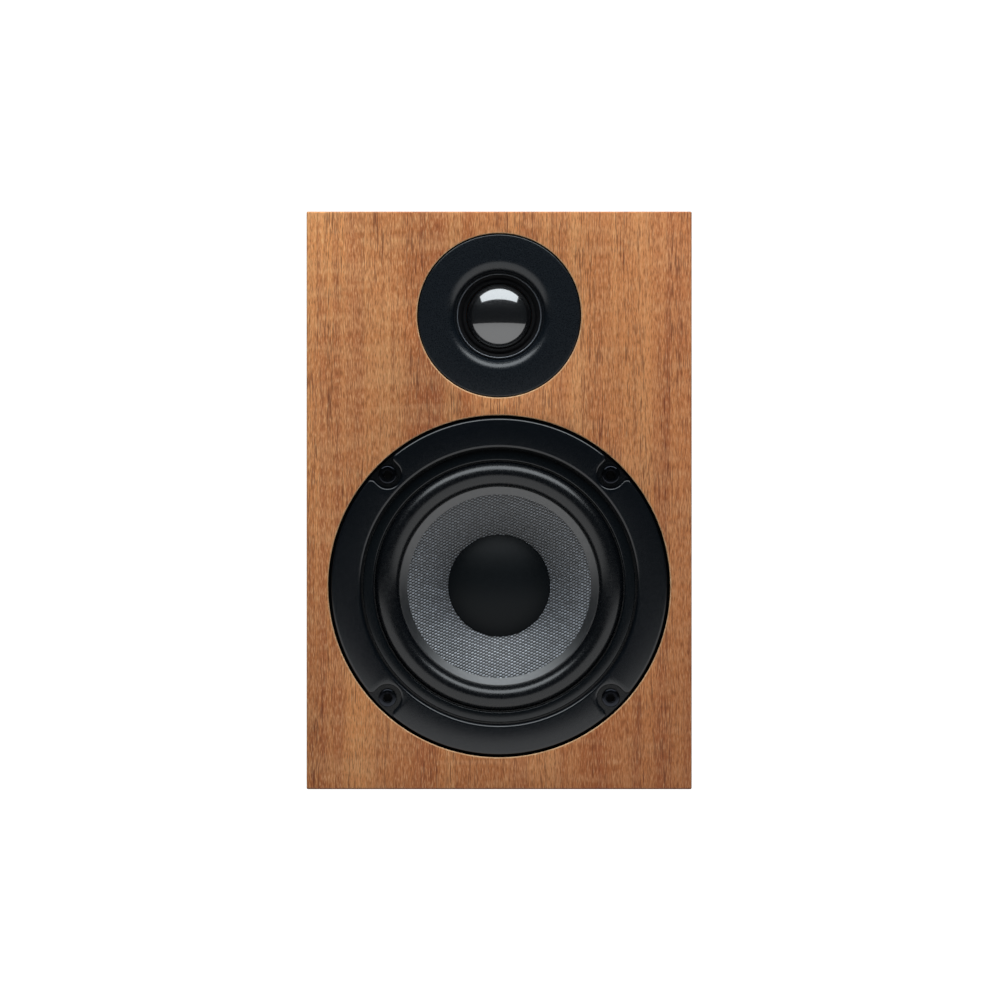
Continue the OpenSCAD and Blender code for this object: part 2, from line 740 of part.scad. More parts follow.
module terminal_cup_screws() color([0.15, 0.15, 0.15]) {
    at_cup_screws() translate([0, 0, cup_gasket_t + cup_flange_t]) difference() {
        union() {
            cylinder(r = 3, h = 1.2);
            translate([0, 0, 1.2]) cylinder(r1 = 3, r2 = 2, h = 0.7);
            translate([0, 0, -11.8]) cylinder(r = cup_screw_r, h = 12);
        }
        for (turn = [0, 90]) rotate([0, 0, turn]) translate([-1.7, -0.35, 0.9]) cube([3.4, 0.7, 2]);
    }
}

module post(side) {
    translate([side * post_pitch / 2, 0, 0]) children();
}

module post_stud() {
    difference() {
        translate([0, 0, -33]) cylinder(r = stud_r, h = stud_end_z + 33);
        translate([0, 0, stud_end_z - socket_l]) cylinder(r = socket_r, h = socket_l + 1);
    }
}

module clamp_washer() {
    washer_z = cup_floor_z + collar_h + clamp_gap;
    ring(washer_r, stud_r + thread_clearance, washer_z, washer_z + washer_t);
}

// A fluted grip over a plain collar, bored through for the stud.
module post_knob() {
    flute_r = 0.55;
    grip_z = knob_base_z + 2.2;
    difference() {
        union() {
            translate([0, 0, knob_base_z]) cylinder(r = knob_r - 0.8, h = knob_l);
            translate([0, 0, knob_base_z]) cylinder(r = knob_r, h = 1.6);
            difference() {
                translate([0, 0, grip_z]) cylinder(r = knob_r, h = knob_l - 2.8);
                around(knob_flutes, knob_r + 0.1) translate([0, 0, grip_z - 1])
                    cylinder(r = flute_r, h = knob_l);
            }
        }
        translate([0, 0, knob_base_z - 1]) cylinder(r = stud_r + thread_clearance, h = knob_l + 2);
    }
}

module post_nuts() {
    // Two hexagon nuts inside the cabinet, with the solder tag between them.
    for (z = [cup_back_z - nut_t, cup_back_z - 2 * nut_t - tag_t - 0.2]) translate([0, 0, z]) difference() {
        cylinder(r = 5.8, h = nut_t, $fn = 6);
        translate([0, 0, -1]) cylinder(r = stud_fit_r, h = nut_t + 2);
    }
}

module solder_tag() {
    translate([0, 0, cup_back_z - nut_t - tag_t - 0.1]) difference() {
        union() {
            cylinder(r = 5, h = tag_t);
            translate([-1.6, -13, 0]) cube([3.2, 10, tag_t]);
        }
        translate([0, 0, -1]) cylinder(r = stud_fit_r, h = tag_t + 2);
    }
}

red_side = -1;
black_side = 1;

module red_post_stud() color("gold") post(red_side) post_stud();
module black_post_stud() color("gold") post(black_side) post_stud();
module red_clamp_washer() color("gold") post(red_side) clamp_washer();
module black_clamp_washer() color("gold") post(black_side) clamp_washer();
module red_knob() color("firebrick") post(red_side) post_knob();
module black_knob() color([0.1, 0.1, 0.1]) post(black_side) post_knob();
module red_post_nuts() color("silver") post(red_side) post_nuts();
module black_post_nuts() color("silver") post(black_side) post_nuts();
module red_solder_tag() color("silver") post(red_side) solder_tag();
module black_solder_tag() color("silver") post(black_side) solder_tag();

// ---------- crossover ----------

module on_board(x, y) {
    translate([x, pcb_y + y, pcb_top]) children();
}

module at_board_corners() {
    for (x = [-1, 1], y = [-1, 1])
        translate([x * (pcb_w / 2 - 5), pcb_y + y * (pcb_d / 2 - 5), board_t]) children();
}

module crossover_board() color("darkgreen") {
    difference() {
        translate([-pcb_w / 2, pcb_y - pcb_d / 2, board_t + spacer_h]) cube([pcb_w, pcb_d, pcb_t]);
        at_board_corners() cylinder(r = 1.7, h = 20);
    }
}

module crossover_spacers() color("ivory") {
    at_board_corners() ring(3.2, 1.6, 0, spacer_h);
}

module crossover_screws() color("silver") {
    shank = spacer_h + pcb_t + board_screw_bite - 0.5;
    at_board_corners() translate([0, 0, spacer_h + pcb_t]) difference() {
        union() {
            cylinder(r = 2.8, h = 1.3);
            translate([0, 0, 1.3]) cylinder(r1 = 2.8, r2 = 2.1, h = 0.5);
            translate([0, 0, -shank]) cylinder(r = board_screw_r - 0.02, h = shank + 0.1);
        }
        for (turn = [0, 90]) rotate([0, 0, turn]) translate([-1.6, -0.35, 0.9]) cube([3.2, 0.7, 2]);
    }
}

coil_large_r = 19;
coil_large_h = 16;
coil_small_r = 12;
coil_small_h = 13;

module bobbin(r, core_r, h) {
    difference() {
        union() {
            cylinder(r = r, h = 1.4);
            translate([0, 0, h - 1.4]) cylinder(r = r, h = 1.4);
            cylinder(r = core_r, h = h);
        }
        translate([0, 0, -1]) cylinder(r = core_r - 2, h = h + 2);
    }
}

module winding(r, core_r, h) ring(r - 1, core_r + 0.05, 1.5, h - 1.5);

module at_large_coil() on_board(-24, -12) children();
// The small coil lies on its side, so that the two fields don't couple.
module at_small_coil() {
    on_board(22, -20) translate([-coil_small_h / 2, 0, coil_small_r]) rotate([0, 90, 0]) children();
}

module crossover_bobbins() color([0.15, 0.15, 0.15]) {
    at_large_coil() bobbin(coil_large_r, 7, coil_large_h);
    at_small_coil() bobbin(coil_small_r, 5, coil_small_h);
}

module crossover_windings() color([0.72, 0.36, 0.16]) {
    at_large_coil() winding(coil_large_r, 7, coil_large_h);
    at_small_coil() winding(coil_small_r, 5, coil_small_h);
}

module lying_can(r, l) translate([-l / 2, 0, r]) rotate([0, 90, 0]) {
    cylinder(r = r, h = l - 2);
    translate([0, 0, l - 2]) cylinder(r = r - 0.6, h = 1);
    translate([0, 0, l - 1]) cylinder(r = r, h = 1);
}

module crossover_capacitors() color([0.12, 0.16, 0.3]) {
    on_board(24, 4) lying_can(6.5, 30);
    on_board(28, 19) lying_can(5.5, 22);
    on_board(0, 30) lying_can(4.5, 15);
}

module crossover_resistors() color("whitesmoke") {
    on_board(-30, 18) translate([-11, -4.5, 0]) cube([22, 9, 9]);
    on_board(-30, 30) translate([-9, -3.5, 0]) cube([18, 7, 7]);
}

// ---------- wires ----------

module input_wires() color("crimson") {
    tube_along(input_route, wire_r);
    tube_along([for (p = input_route) [-p[0], p[1], p[2]]], wire_r);
}

module woofer_wires() color("crimson") {
    tube_along(woofer_route, wire_r);
    tube_along([for (p = woofer_route) [-p[0], p[1], p[2]]], wire_r);
}

module tweeter_wires() color("crimson") {
    tube_along(tweeter_route, wire_r, across = [0, 1, 0]);
    beside = [for (i = [0:9]) let (p = tweeter_route[i]) [p[0] + 3.2, p[1] + 3.2, p[2]]];
    tube_along(concat(beside, tweeter_return_end), wire_r, across = [0, 1, 0]);
}

// ---------- nodes ----------

front_baffle();
left_side_panel();
right_side_panel();
top_panel();
bottom_panel();
rear_panel();
side_wadding();
top_wadding();
on_baffle(woofer_z) woofer_basket();
on_baffle(woofer_z) woofer_gasket();
on_baffle(woofer_z) woofer_trim_ring();
on_baffle(woofer_z) woofer_surround();
on_baffle(woofer_z) woofer_cone();
on_baffle(woofer_z) woofer_dust_cap();
on_baffle(woofer_z) woofer_coil_former();
on_baffle(woofer_z) woofer_voice_coil();
on_baffle(woofer_z) woofer_spider();
on_baffle(woofer_z) woofer_top_plate();
on_baffle(woofer_z) woofer_magnet();
on_baffle(woofer_z) woofer_pole_plate();
on_baffle(woofer_z) woofer_terminal_strip();
on_baffle(woofer_z) woofer_tinsel_leads();
on_baffle(woofer_z) woofer_screws();
on_baffle(tweeter_z) tweeter_faceplate();
on_baffle(tweeter_z) tweeter_gasket();
on_baffle(tweeter_z) tweeter_retaining_ring();
on_baffle(tweeter_z) tweeter_surround();
on_baffle(tweeter_z) tweeter_dome();
on_baffle(tweeter_z) tweeter_coil_former();
on_baffle(tweeter_z) tweeter_voice_coil();
on_baffle(tweeter_z) tweeter_top_plate();
on_baffle(tweeter_z) tweeter_magnet();
on_baffle(tweeter_z) tweeter_pole_plate();
on_baffle(tweeter_z) tweeter_rear_cup();
on_baffle(tweeter_z) tweeter_terminals();
on_baffle(tweeter_z) tweeter_screws();
on_rear(port_z) port_tube();
on_rear(cup_z) terminal_cup();
on_rear(cup_z) terminal_cup_gasket();
on_rear(cup_z) terminal_cup_screws();
on_rear(cup_z) red_post_stud();
on_rear(cup_z) black_post_stud();
on_rear(cup_z) red_clamp_washer();
on_rear(cup_z) black_clamp_washer();
on_rear(cup_z) red_knob();
on_rear(cup_z) black_knob();
on_rear(cup_z) red_post_nuts();
on_rear(cup_z) black_post_nuts();
on_rear(cup_z) red_solder_tag();
on_rear(cup_z) black_solder_tag();
crossover_board();
crossover_spacers();
crossover_screws();
crossover_bobbins();
crossover_windings();
crossover_capacitors();
crossover_resistors();
input_wires();
woofer_wires();
tweeter_wires();
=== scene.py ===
import math

import bmesh
import bpy
import numpy as np
from mathutils import Matrix, Vector, noise


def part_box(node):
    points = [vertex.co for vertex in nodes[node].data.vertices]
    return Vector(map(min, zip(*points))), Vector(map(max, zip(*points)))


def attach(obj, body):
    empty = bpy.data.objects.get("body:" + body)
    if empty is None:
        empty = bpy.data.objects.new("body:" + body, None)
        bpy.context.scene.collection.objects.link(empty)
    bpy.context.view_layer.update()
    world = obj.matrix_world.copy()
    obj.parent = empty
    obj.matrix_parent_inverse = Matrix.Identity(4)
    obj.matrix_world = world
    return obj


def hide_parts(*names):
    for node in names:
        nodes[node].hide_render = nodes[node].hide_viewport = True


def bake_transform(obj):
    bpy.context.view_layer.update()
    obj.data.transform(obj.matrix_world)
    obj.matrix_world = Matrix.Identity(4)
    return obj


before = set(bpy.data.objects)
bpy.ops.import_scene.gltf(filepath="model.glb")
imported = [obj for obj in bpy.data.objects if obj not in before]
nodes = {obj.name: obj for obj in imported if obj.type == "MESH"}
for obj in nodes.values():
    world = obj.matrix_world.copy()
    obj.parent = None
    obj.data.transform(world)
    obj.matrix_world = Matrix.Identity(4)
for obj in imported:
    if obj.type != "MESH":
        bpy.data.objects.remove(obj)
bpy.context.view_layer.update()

MM = 0.001

# ---------------------------------------------------------------- places, from the frame


def centre(node):
    low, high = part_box(node)
    return (Vector(low) + Vector(high)) / 2


def half_size(node):
    low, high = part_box(node)
    return (Vector(high) - Vector(low)) / 2


FRONT_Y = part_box("front_baffle")[0][1]
REAR_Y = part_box("rear_panel")[1][1]
TOP_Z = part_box("front_baffle")[1][2]
WOOFER_Z = centre("woofer_cone").z
TWEETER_Z = centre("tweeter_dome").z
PORT_Z = centre("port_tube").z
CUP_Z = centre("terminal_cup").z
POST_X = centre("red_post_stud").x


def facing_front(z):
    """Axes for a driver: +Z out of the baffle, in millimetres, with the origin on the baffle's face."""
    turn = Matrix(((1, 0, 0), (0, 0, -1), (0, 1, 0))).to_4x4()
    return Matrix.Translation((0, FRONT_Y, z)) @ turn @ Matrix.Scale(MM, 4)


def facing_rear(z, x=0.0):
    """Axes for a part on the back: +Z out of the rear face, in millimetres."""
    turn = Matrix(((-1, 0, 0), (0, 0, 1), (0, 1, 0))).to_4x4()
    return Matrix.Translation((x, REAR_Y, z)) @ turn @ Matrix.Scale(MM, 4)


WOOFER = facing_front(WOOFER_Z)
TWEETER = facing_front(TWEETER_Z)
UPRIGHT = Matrix.Scale(MM, 4)

# ---------------------------------------------------------------- mesh helpers


def around(place, count, circle_r, start, level=0.0):
    """Places on a circle about place's Z axis, each with its own X axis pointing outwards."""
    for i in range(count):
        turn = Matrix.Rotation(math.radians(start + 360 * i / count), 4, "Z")
        yield place @ turn @ Matrix.Translation((circle_r, 0, level))


def arc(x, y, radius, start, end, steps):
    """Points on a circle about (x, y), from one angle to another, in degrees."""
    angles = [math.radians(start + (end - start) * i / steps) for i in range(steps + 1)]
    return [(x + radius * math.cos(a), y + radius * math.sin(a)) for a in angles]


def add_object(name, mesh, material=None):
    obj = bpy.data.objects.new(name, mesh)
    bpy.context.scene.collection.objects.link(obj)
    if material is not None:
        mesh.materials.append(material)
    return obj


def from_bmesh(name, bm, material, sharp=35):
    """A shaded object from a bmesh, with edges over an angle kept sharp."""
    bmesh.ops.remove_doubles(bm, verts=bm.verts, dist=1e-7)
    bmesh.ops.recalc_face_normals(bm, faces=bm.faces)
    mesh = bpy.data.meshes.new(name)
    bm.to_mesh(mesh)
    bm.free()
    shade(mesh, sharp)
    return add_object(name, mesh, material)


def shade(mesh, sharp):
    mesh.polygons.foreach_set("use_smooth", [True] * len(mesh.polygons))
    mesh.set_sharp_from_angle(angle=math.radians(sharp))
    mesh.update()


def lathe_into(bm, outline, place, steps, closed=True):
    """Adds a (radius, level) outline turned about place's Z axis."""
    rings = []
    for i in range(steps):
        a = 2 * math.pi * i / steps
        c, s = math.cos(a), math.sin(a)
        rings.append([bm.verts.new(place @ Vector((r * c, r * s, z))) for r, z in outline])
    count = len(outline)
    last = count if closed else count - 1
    for i in range(steps):
        here, there = rings[i], rings[(i + 1) % steps]
        for k in range(last):
            m = (k + 1) % count
            bm.faces.new((here[k], there[k], there[m], here[m]))


def lathe(name, outline, place, material, steps=192, closed=True, sharp=35):
    bm = bmesh.new()
    lathe_into(bm, outline, place, steps, closed)
    bmesh.ops.remove_doubles(bm, verts=bm.verts, dist=1e-7)
    bmesh.ops.dissolve_degenerate(bm, edges=bm.edges, dist=1e-8)
    return from_bmesh(name, bm, material, sharp)


def sheet_outline(path, thickness):
    """The closed outline of a sheet whose middle follows a path."""
    points = np.array(path, float)
    along = np.gradient(points, axis=0)
    along /= np.linalg.norm(along, axis=1)[:, None]
    across = np.column_stack((-along[:, 1], along[:, 0])) * thickness / 2
    return [tuple(p) for p in points + across] + [tuple(p) for p in (points - across)[::-1]]


def loft_into(bm, outlines, place):
    """Adds a closed solid through a stack of (outline, level) pairs with equal point counts."""
    rings = [[bm.verts.new(place @ Vector((x, y, z))) for x, y in outline] for outline, z in outlines]
    for low, high in zip(rings, rings[1:]):
        for k in range(len(low)):
            m = (k + 1) % len(low)
            bm.faces.new((low[k], low[m], high[m], high[k]))
    bm.faces.new(rings[0][::-1])
    bm.faces.new(rings[-1])


def loft(name, outlines, place, material, sharp=35):
    bm = bmesh.new()
    loft_into(bm, outlines, place)
    return from_bmesh(name, bm, material, sharp)


def carve(target, cutter, sharp=35, operation="DIFFERENCE"):
    """Cuts one object out of another, or joins the two, and removes the second."""
    modifier = target.modifiers.new("carve", "BOOLEAN")
    modifier.operation = operation
    modifier.solver = "EXACT"
    modifier.object = cutter
    if cutter.data.materials:
        modifier.material_mode = "TRANSFER"
    bpy.context.view_layer.update()
    evaluated = target.evaluated_get(bpy.context.evaluated_depsgraph_get())
    mesh = bpy.data.meshes.new_from_object(evaluated)
    old = target.data
    target.modifiers.clear()
    target.data = mesh
    mesh.name = target.name
    bpy.data.meshes.remove(old)
    bpy.data.objects.remove(cutter)
    shade(mesh, sharp)
    return target


def rounded_block(name, width, height, radius, low, high, ease, place, material):
    """A block with rounded upright corners and eased top and bottom edges."""
    stack = [(rounded_rect(width - 2 * (ease + x), height - 2 * (ease + x), radius), low + ease + y)
             for x, y in arc(0, 0, ease, 270, 180, 4)]
    stack += [(rounded_rect(width - 2 * (ease + x), height - 2 * (ease + x), radius), high - ease + y)
              for x, y in arc(0, 0, ease, 180, 90, 4)]
    return loft(name, stack, place, material)


def spline(route, sub=8):
    """A Catmull-Rom curve through a route, sub points to each stretch."""
    points = [Vector(p) for p in route]
    ends = [points[0]] + points + [points[-1]]
    out = []
    for a, b, c, d in zip(ends, ends[1:], ends[2:], ends[3:]):
        for k in range(sub):
            t = k / sub
            out.append(0.5 * (2 * b + (c - a) * t + (2 * a - 5 * b + 4 * c - d) * t ** 2
                              + (3 * b - a - 3 * c + d) * t ** 3))
    return out + [points[-1]]


def tube(name, route, radius, place, material, sides=14, sub=8, strands=0, lay=0.0):
    """A tube along a route. strands and lay give a rope of twisted strands. Returns it with its shares."""
    path = [place @ p for p in spline(route, sub)]
    scale = place.median_scale
    bm = bmesh.new()
    share = bm.verts.layers.float.new("share")
    lengths = np.cumsum([0.0] + [(b - a).length for a, b in zip(path, path[1:])])
    frame_x = None
    rings = []
    for i, point in enumerate(path):
        along = (path[min(i + 1, len(path) - 1)] - path[max(i - 1, 0)]).normalized()
        start = frame_x if frame_x is not None else along.orthogonal()
        frame_x = (start - along * start.dot(along)).normalized()
        frame_y = along.cross(frame_x)
        ring = []
        for k in range(sides):
            a = 2 * math.pi * k / sides
            wave = 1 - (0.16 * abs(math.sin(strands / 2 * a + lay * lengths[i])) if strands else 0)
            offset = (frame_x * math.cos(a) + frame_y * math.sin(a)) * radius * scale * wave
            vert = bm.verts.new(point + offset)
            vert[share] = lengths[i] / lengths[-1]
            ring.append(vert)
        rings.append(ring)
    for low, high in zip(rings, rings[1:]):
        for k in range(sides):
            m = (k + 1) % sides
            bm.faces.new((low[k], low[m], high[m], high[k]))
    bm.faces.new(rings[0][::-1])
    bm.faces.new(rings[-1])
    return from_bmesh(name, bm, material, 60)


def scallops(radius, low, high, turns, inner):
    """The outline of a coil: a ring whose outside shows its turns of wire."""
    pitch = (high - low) / turns
    outline = [(inner, low)]
    for i in range(turns):
        outline += arc(radius - pitch / 2, low + pitch * (i + 0.5), pitch / 2, -90, 90, 6)
    return outline + [(inner, high)]


def cross_screw(name, place, shank_r, shank_l, head_r, head_h, material):
    """A pan-head screw with a cross recess, head up from level 0."""
    rim = head_h * 0.3
    outline = [(0, -shank_l), (shank_r * 0.3, -shank_l), (shank_r, -shank_l + 1.6), (shank_r, 0)]
    outline.append((head_r, 0))
    outline += [(head_r * math.cos(t), rim + (head_h - rim) * math.sin(t)) for t in np.linspace(0, 1.45, 9)]
    outline.append((0, head_h))
    screw = lathe(name, outline, place, material, steps=48)
    for turn in (0, 90):
        slot_place = place @ Matrix.Rotation(math.radians(turn), 4, "Z")
        levels = [(1.6, 0.3, head_h - 1.1), (head_r * 1.15, 0.62, head_h + 0.2)]
        stack = [(rectangle(w, d), z) for w, d, z in levels]
        carve(screw, loft("cut", stack, slot_place, None))
    return screw


def rectangle(width, height):
    x, y = width / 2, height / 2
    return [(-x, -y), (x, -y), (x, y), (-x, y)]


def rounded_rect(width, height, radius, steps=8):
    points = []
    for x, y, start in ((1, 1, 0), (-1, 1, 90), (-1, -1, 180), (1, -1, 270)):
        cx, cy = x * (width / 2 - radius), y * (height / 2 - radius)
        points += arc(cx, cy, radius, start, start + 90, steps)
    return points


def adopt(piece, body, slot, *replaced):
    """Seats a finished piece on its body, in place of CAD nodes; the slot argument is not used."""
    if replaced:
        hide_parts(*replaced)
    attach(piece, body)
    return piece


# ---------------------------------------------------------------- material helpers


class Look:
    """A procedural material: a Principled shader and short calls for the nodes that feed it."""

    def __init__(self, name, colour, roughness, **sockets):
        self.material = bpy.data.materials.new(name)
        self.material.use_nodes = True
        self.tree = self.material.node_tree
        self.shader = self.tree.nodes["Principled BSDF"]
        self.material.diffuse_color = (*colour, 1)
        self.set("Base Color", (*colour, 1))
        self.set("Roughness", roughness)
        for key, value in sockets.items():
            self.set(key.replace("_", " "), value)
        self.object = self.node("ShaderNodeTexCoord").outputs["Object"]

    def node(self, kind, **properties):
        made = self.tree.nodes.new(kind)
        for key, value in properties.items():
            setattr(made, key, value)
        return made

    def feed(self, socket, value):
        if isinstance(value, bpy.types.NodeSocket):
            self.tree.links.new(value, socket)
        else:
            socket.default_value = value

    def set(self, name, value):
        self.feed(self.shader.inputs[name], value)

    def stretch(self, scale, offset=(0, 0, 0), vector=None):
        mapping = self.node("ShaderNodeMapping")
        self.feed(mapping.inputs["Vector"], vector or self.object)
        mapping.inputs["Scale"].default_value = scale
        mapping.inputs["Location"].default_value = offset
        return mapping.outputs["Vector"]

    def noise(self, vector, scale=1.0, detail=3.0, roughness=0.5, distortion=0.0):
        made = self.node("ShaderNodeTexNoise")
        self.feed(made.inputs["Vector"], vector)
        made.inputs["Scale"].default_value = scale
        made.inputs["Detail"].default_value = detail
        made.inputs["Roughness"].default_value = roughness
        made.inputs["Distortion"].default_value = distortion
        return made.outputs["Fac"]

    def math(self, operation, a, b=0.0, c=0.0, clamp=False):
        made = self.node("ShaderNodeMath", operation=operation, use_clamp=clamp)
        for socket, value in zip(made.inputs, (a, b, c)):
            self.feed(socket, value)
        return made.outputs[0]

    def remap(self, value, low, high, to_low=0.0, to_high=1.0):
        made = self.node("ShaderNodeMapRange", clamp=True)
        for socket, number in zip(made.inputs, (value, low, high, to_low, to_high)):
            self.feed(socket, number)
        return made.outputs[0]

    def mix(self, factor, a, b, blend="MIX"):
        made = self.node("ShaderNodeMix", data_type="RGBA", blend_type=blend)
        self.feed(made.inputs[0], factor)
        self.feed(made.inputs[6], a if isinstance(a, bpy.types.NodeSocket) else (*a, 1))
        self.feed(made.inputs[7], b if isinstance(b, bpy.types.NodeSocket) else (*b, 1))
        return made.outputs[2]

    def split(self, vector=None):
        made = self.node("ShaderNodeSeparateXYZ")
        self.feed(made.inputs[0], vector or self.object)
        return made.outputs

    def bump(self, height, distance, strength=1.0, normal=None):
        made = self.node("ShaderNodeBump")
        self.feed(made.inputs["Height"], height)
        made.inputs["Distance"].default_value = distance
        made.inputs["Strength"].default_value = strength
        if normal is not None:
            self.feed(made.inputs["Normal"], normal)
        self.set("Normal", made.outputs["Normal"])
        return made.outputs["Normal"]


def srgb(red, green, blue):
    """Linear colour from 0 to 255 display values."""
    shares = (red / 255, green / 255, blue / 255)
    return tuple(v / 12.92 if v <= 0.04045 else ((v + 0.055) / 1.055) ** 2.4 for v in shares)


# ---------------------------------------------------------------- materials


def veneer(name, grain, depth):
    """Oiled walnut veneer. grain and depth name the axes along the fibres and through the board."""
    look = Look(name, srgb(180, 122, 80), 0.5, Specular_IOR_Level=0.22)
    axes = {axis: i for i, axis in enumerate("xyz")}

    def scaled(along, cross):
        scale = [cross, cross, cross]
        scale[axes[grain]] = along
        scale[axes[depth]] = cross * 0.7
        return look.stretch(tuple(scale))

    figure = look.noise(scaled(2.4, 26), detail=3, roughness=0.5, distortion=0.6)
    bands = look.noise(scaled(3.4, 120), detail=3, roughness=0.6, distortion=0.5)
    lines = look.noise(scaled(16, 900), detail=3, roughness=0.65, distortion=0.4)
    ripple = look.noise(scaled(130, 30), detail=2, roughness=0.5, distortion=1.0)
    dashes = look.noise(scaled(330, 2300), detail=2, roughness=0.6)
    pores = look.noise(scaled(110, 2100), detail=1, roughness=0.5)
    pore_patches = look.noise(scaled(14, 150), detail=2)

    colour = look.mix(look.remap(figure, 0.36, 0.64), srgb(202, 124, 72), srgb(234, 158, 96))
    colour = look.mix(look.remap(bands, 0.48, 0.64, 0.0, 0.62), colour, srgb(180, 100, 60))
    colour = look.mix(look.remap(bands, 0.44, 0.3, 0.0, 0.5), colour, srgb(242, 176, 114))
    colour = look.mix(look.remap(lines, 0.5, 0.68, 0.0, 0.55), colour, srgb(150, 80, 48))
    colour = look.mix(look.remap(ripple, 0.46, 0.7, 0.0, 0.34), colour, srgb(238, 178, 122))
    colour = look.mix(look.remap(dashes, 0.52, 0.68, 0.0, 0.62), colour, srgb(132, 74, 44))
    colour = look.mix(look.remap(dashes, 0.48, 0.32, 0.0, 0.62), colour, srgb(246, 194, 138))
    opened = look.remap(pore_patches, 0.42, 0.58, 0.05, 1.0)
    streaks = look.math("MULTIPLY", look.remap(pores, 0.56, 0.66), opened)
    colour = look.mix(look.math("MULTIPLY", streaks, 0.66), colour, srgb(112, 56, 36))

    # Darker and redder towards the right and the foot of the board: partly the flitch's own redder tone,
    # partly painted shade where the light falls off from the top left.
    x, _, z = look.split()
    turn = look.math("SUBTRACT", x, look.math("MULTIPLY", z, 0.3))
    redder_and_painted_falloff = look.remap(turn, -0.14, 0.075, 0.0, 0.5)
    colour = look.mix(redder_and_painted_falloff, colour, srgb(206, 176, 176), "MULTIPLY")
    look.set("Base Color", colour)
    look.set("Roughness", look.remap(dashes, 0.3, 0.7, 0.44, 0.6))
    relief = look.math("SUBTRACT", look.math("MULTIPLY", lines, 0.6), look.math("MULTIPLY", streaks, 0.9))
    look.bump(relief, 0.00007, 0.6)
    return look.material


def pale_edge_with_painted_highlight():
    """The sanded edge of a veneered board: pale fibre under the veneer, painted paler still as a highlight
    along the rim of a recess.
    """
    look = Look("cut edge", srgb(214, 168, 124), 0.6, Specular_IOR_Level=0.2)
    fibre = look.noise(look.object, 1800.0, detail=3)
    patches = look.noise(look.object, 160.0, detail=2)
    colour = look.mix(look.remap(fibre, 0.35, 0.7), srgb(190, 140, 96), srgb(236, 196, 152))
    look.set("Base Color", look.mix(look.remap(patches, 0.4, 0.7, 0.0, 0.5), colour, srgb(176, 122, 80)))
    look.bump(fibre, 0.00004, 0.5)
    return look.material


def moulded(name, colour, roughness, grain=2600.0, depth=0.00003, fleck=0.25, **sockets):
    """Black moulded plastic: a fine spark-eroded texture with a few paler specks."""
    look = Look(name, colour, roughness, **sockets)
    fine = look.noise(look.object, grain, detail=2, roughness=0.6)
    broad = look.noise(look.object, 35.0, detail=2)
    pale = tuple(min(1.0, c * 2.4 + 0.006) for c in colour)
    shade_of = look.mix(look.remap(fine, 0.45, 0.8, 0.0, fleck), colour, pale)
    look.set("Base Color", look.mix(look.remap(broad, 0.4, 0.75, 0.0, 0.08), shade_of, pale))
    look.set("Roughness", look.remap(fine, 0.3, 0.7, roughness - 0.05, roughness + 0.07))
    look.bump(fine, depth, 0.6)
    return look.material


def metal(name, colour, roughness, scale=(900, 900, 900), depth=0.00001, **sockets):
    """Plated or turned metal with faint tool marks."""
    look = Look(name, colour, roughness, Metallic=1.0, **sockets)
    marks = look.noise(look.stretch(scale), detail=2)
    smudge = look.noise(look.object, 60.0, detail=3)
    darker = tuple(c * 0.72 for c in colour)
    look.set("Base Color", look.mix(look.remap(smudge, 0.4, 0.75, 0.0, 0.5), colour, darker))
    look.set("Roughness", look.remap(marks, 0.3, 0.7, roughness * 0.8, roughness * 1.3))
    look.bump(marks, depth, 0.5)
    return look.material


# The cone's weave: one thread's width across and up the cone, and the slope of its rows.
THREAD_X = 1.1
THREAD_Z = 0.585
ROW_SLOPE = math.tan(math.radians(10))


def woven_fibre():
    """Grey fibre in a plain weave: the threads running across are painted pale as a sheen, and the threads
    running up and the grooves round each crown are painted near black as shade.
    """
    look = Look("woven fibre", srgb(90, 92, 98), 0.36, Specular_IOR_Level=1.0)
    x, _, z = look.split(look.stretch((1 / MM, 1 / MM, 1 / MM), (0, 0, -WOOFER_Z / MM)))
    u = look.math("DIVIDE", x, THREAD_X)
    v = look.math("DIVIDE", look.math("SUBTRACT", z, look.math("MULTIPLY", x, ROW_SLOPE)), THREAD_Z)
    column, row = look.math("FLOOR", u), look.math("FLOOR", v)
    parity = look.math("ABSOLUTE", look.math("MODULO", look.math("ADD", column, row), 2.0))
    combine = look.node("ShaderNodeCombineXYZ")
    look.feed(combine.inputs[0], column)
    look.feed(combine.inputs[1], row)
    cell = look.node("ShaderNodeTexWhiteNoise", noise_dimensions="3D")
    look.feed(cell.inputs["Vector"], combine.outputs[0])
    filament = look.noise(look.stretch((1500, 1500, 9000)), detail=2)
    # Painted light: the pale colour is a sheen on the threads across, and the near-black one is shade on the
    # threads up and in the grooves round each crown.
    pale = look.mix(look.remap(filament, 0.3, 0.7), srgb(124, 129, 138), srgb(178, 183, 191))
    dark = look.mix(look.remap(filament, 0.3, 0.7), srgb(3, 3, 4), srgb(9, 10, 12))
    a = look.math("SUBTRACT", look.math("MULTIPLY", look.math("FRACT", u), 2.0), 1.0)
    b = look.math("SUBTRACT", look.math("MULTIPLY", look.math("FRACT", v), 2.0), 1.0)
    reach = look.math("ADD", look.math("MULTIPLY", a, a), look.math("MULTIPLY", b, b))
    on_crown = look.remap(reach, 0.35, 1.25, 1.0, 0.0)
    painted_sheen_cell = look.remap(parity, 0.4, 0.6, 1.0, 0.0)
    painted_shade_share = look.math("SUBTRACT", 1.0, look.math("MULTIPLY", on_crown, painted_sheen_cell))
    colour = look.mix(painted_shade_share, pale, dark)
    soot = look.math("MULTIPLY", cell.outputs["Value"], 0.6)
    look.set("Base Color", look.mix(soot, colour, srgb(14, 15, 17)))
    look.set("Roughness", look.remap(painted_shade_share, 0.0, 1.0, 0.34, 0.75))
    look.bump(filament, 0.00002, 0.5)
    return look.material


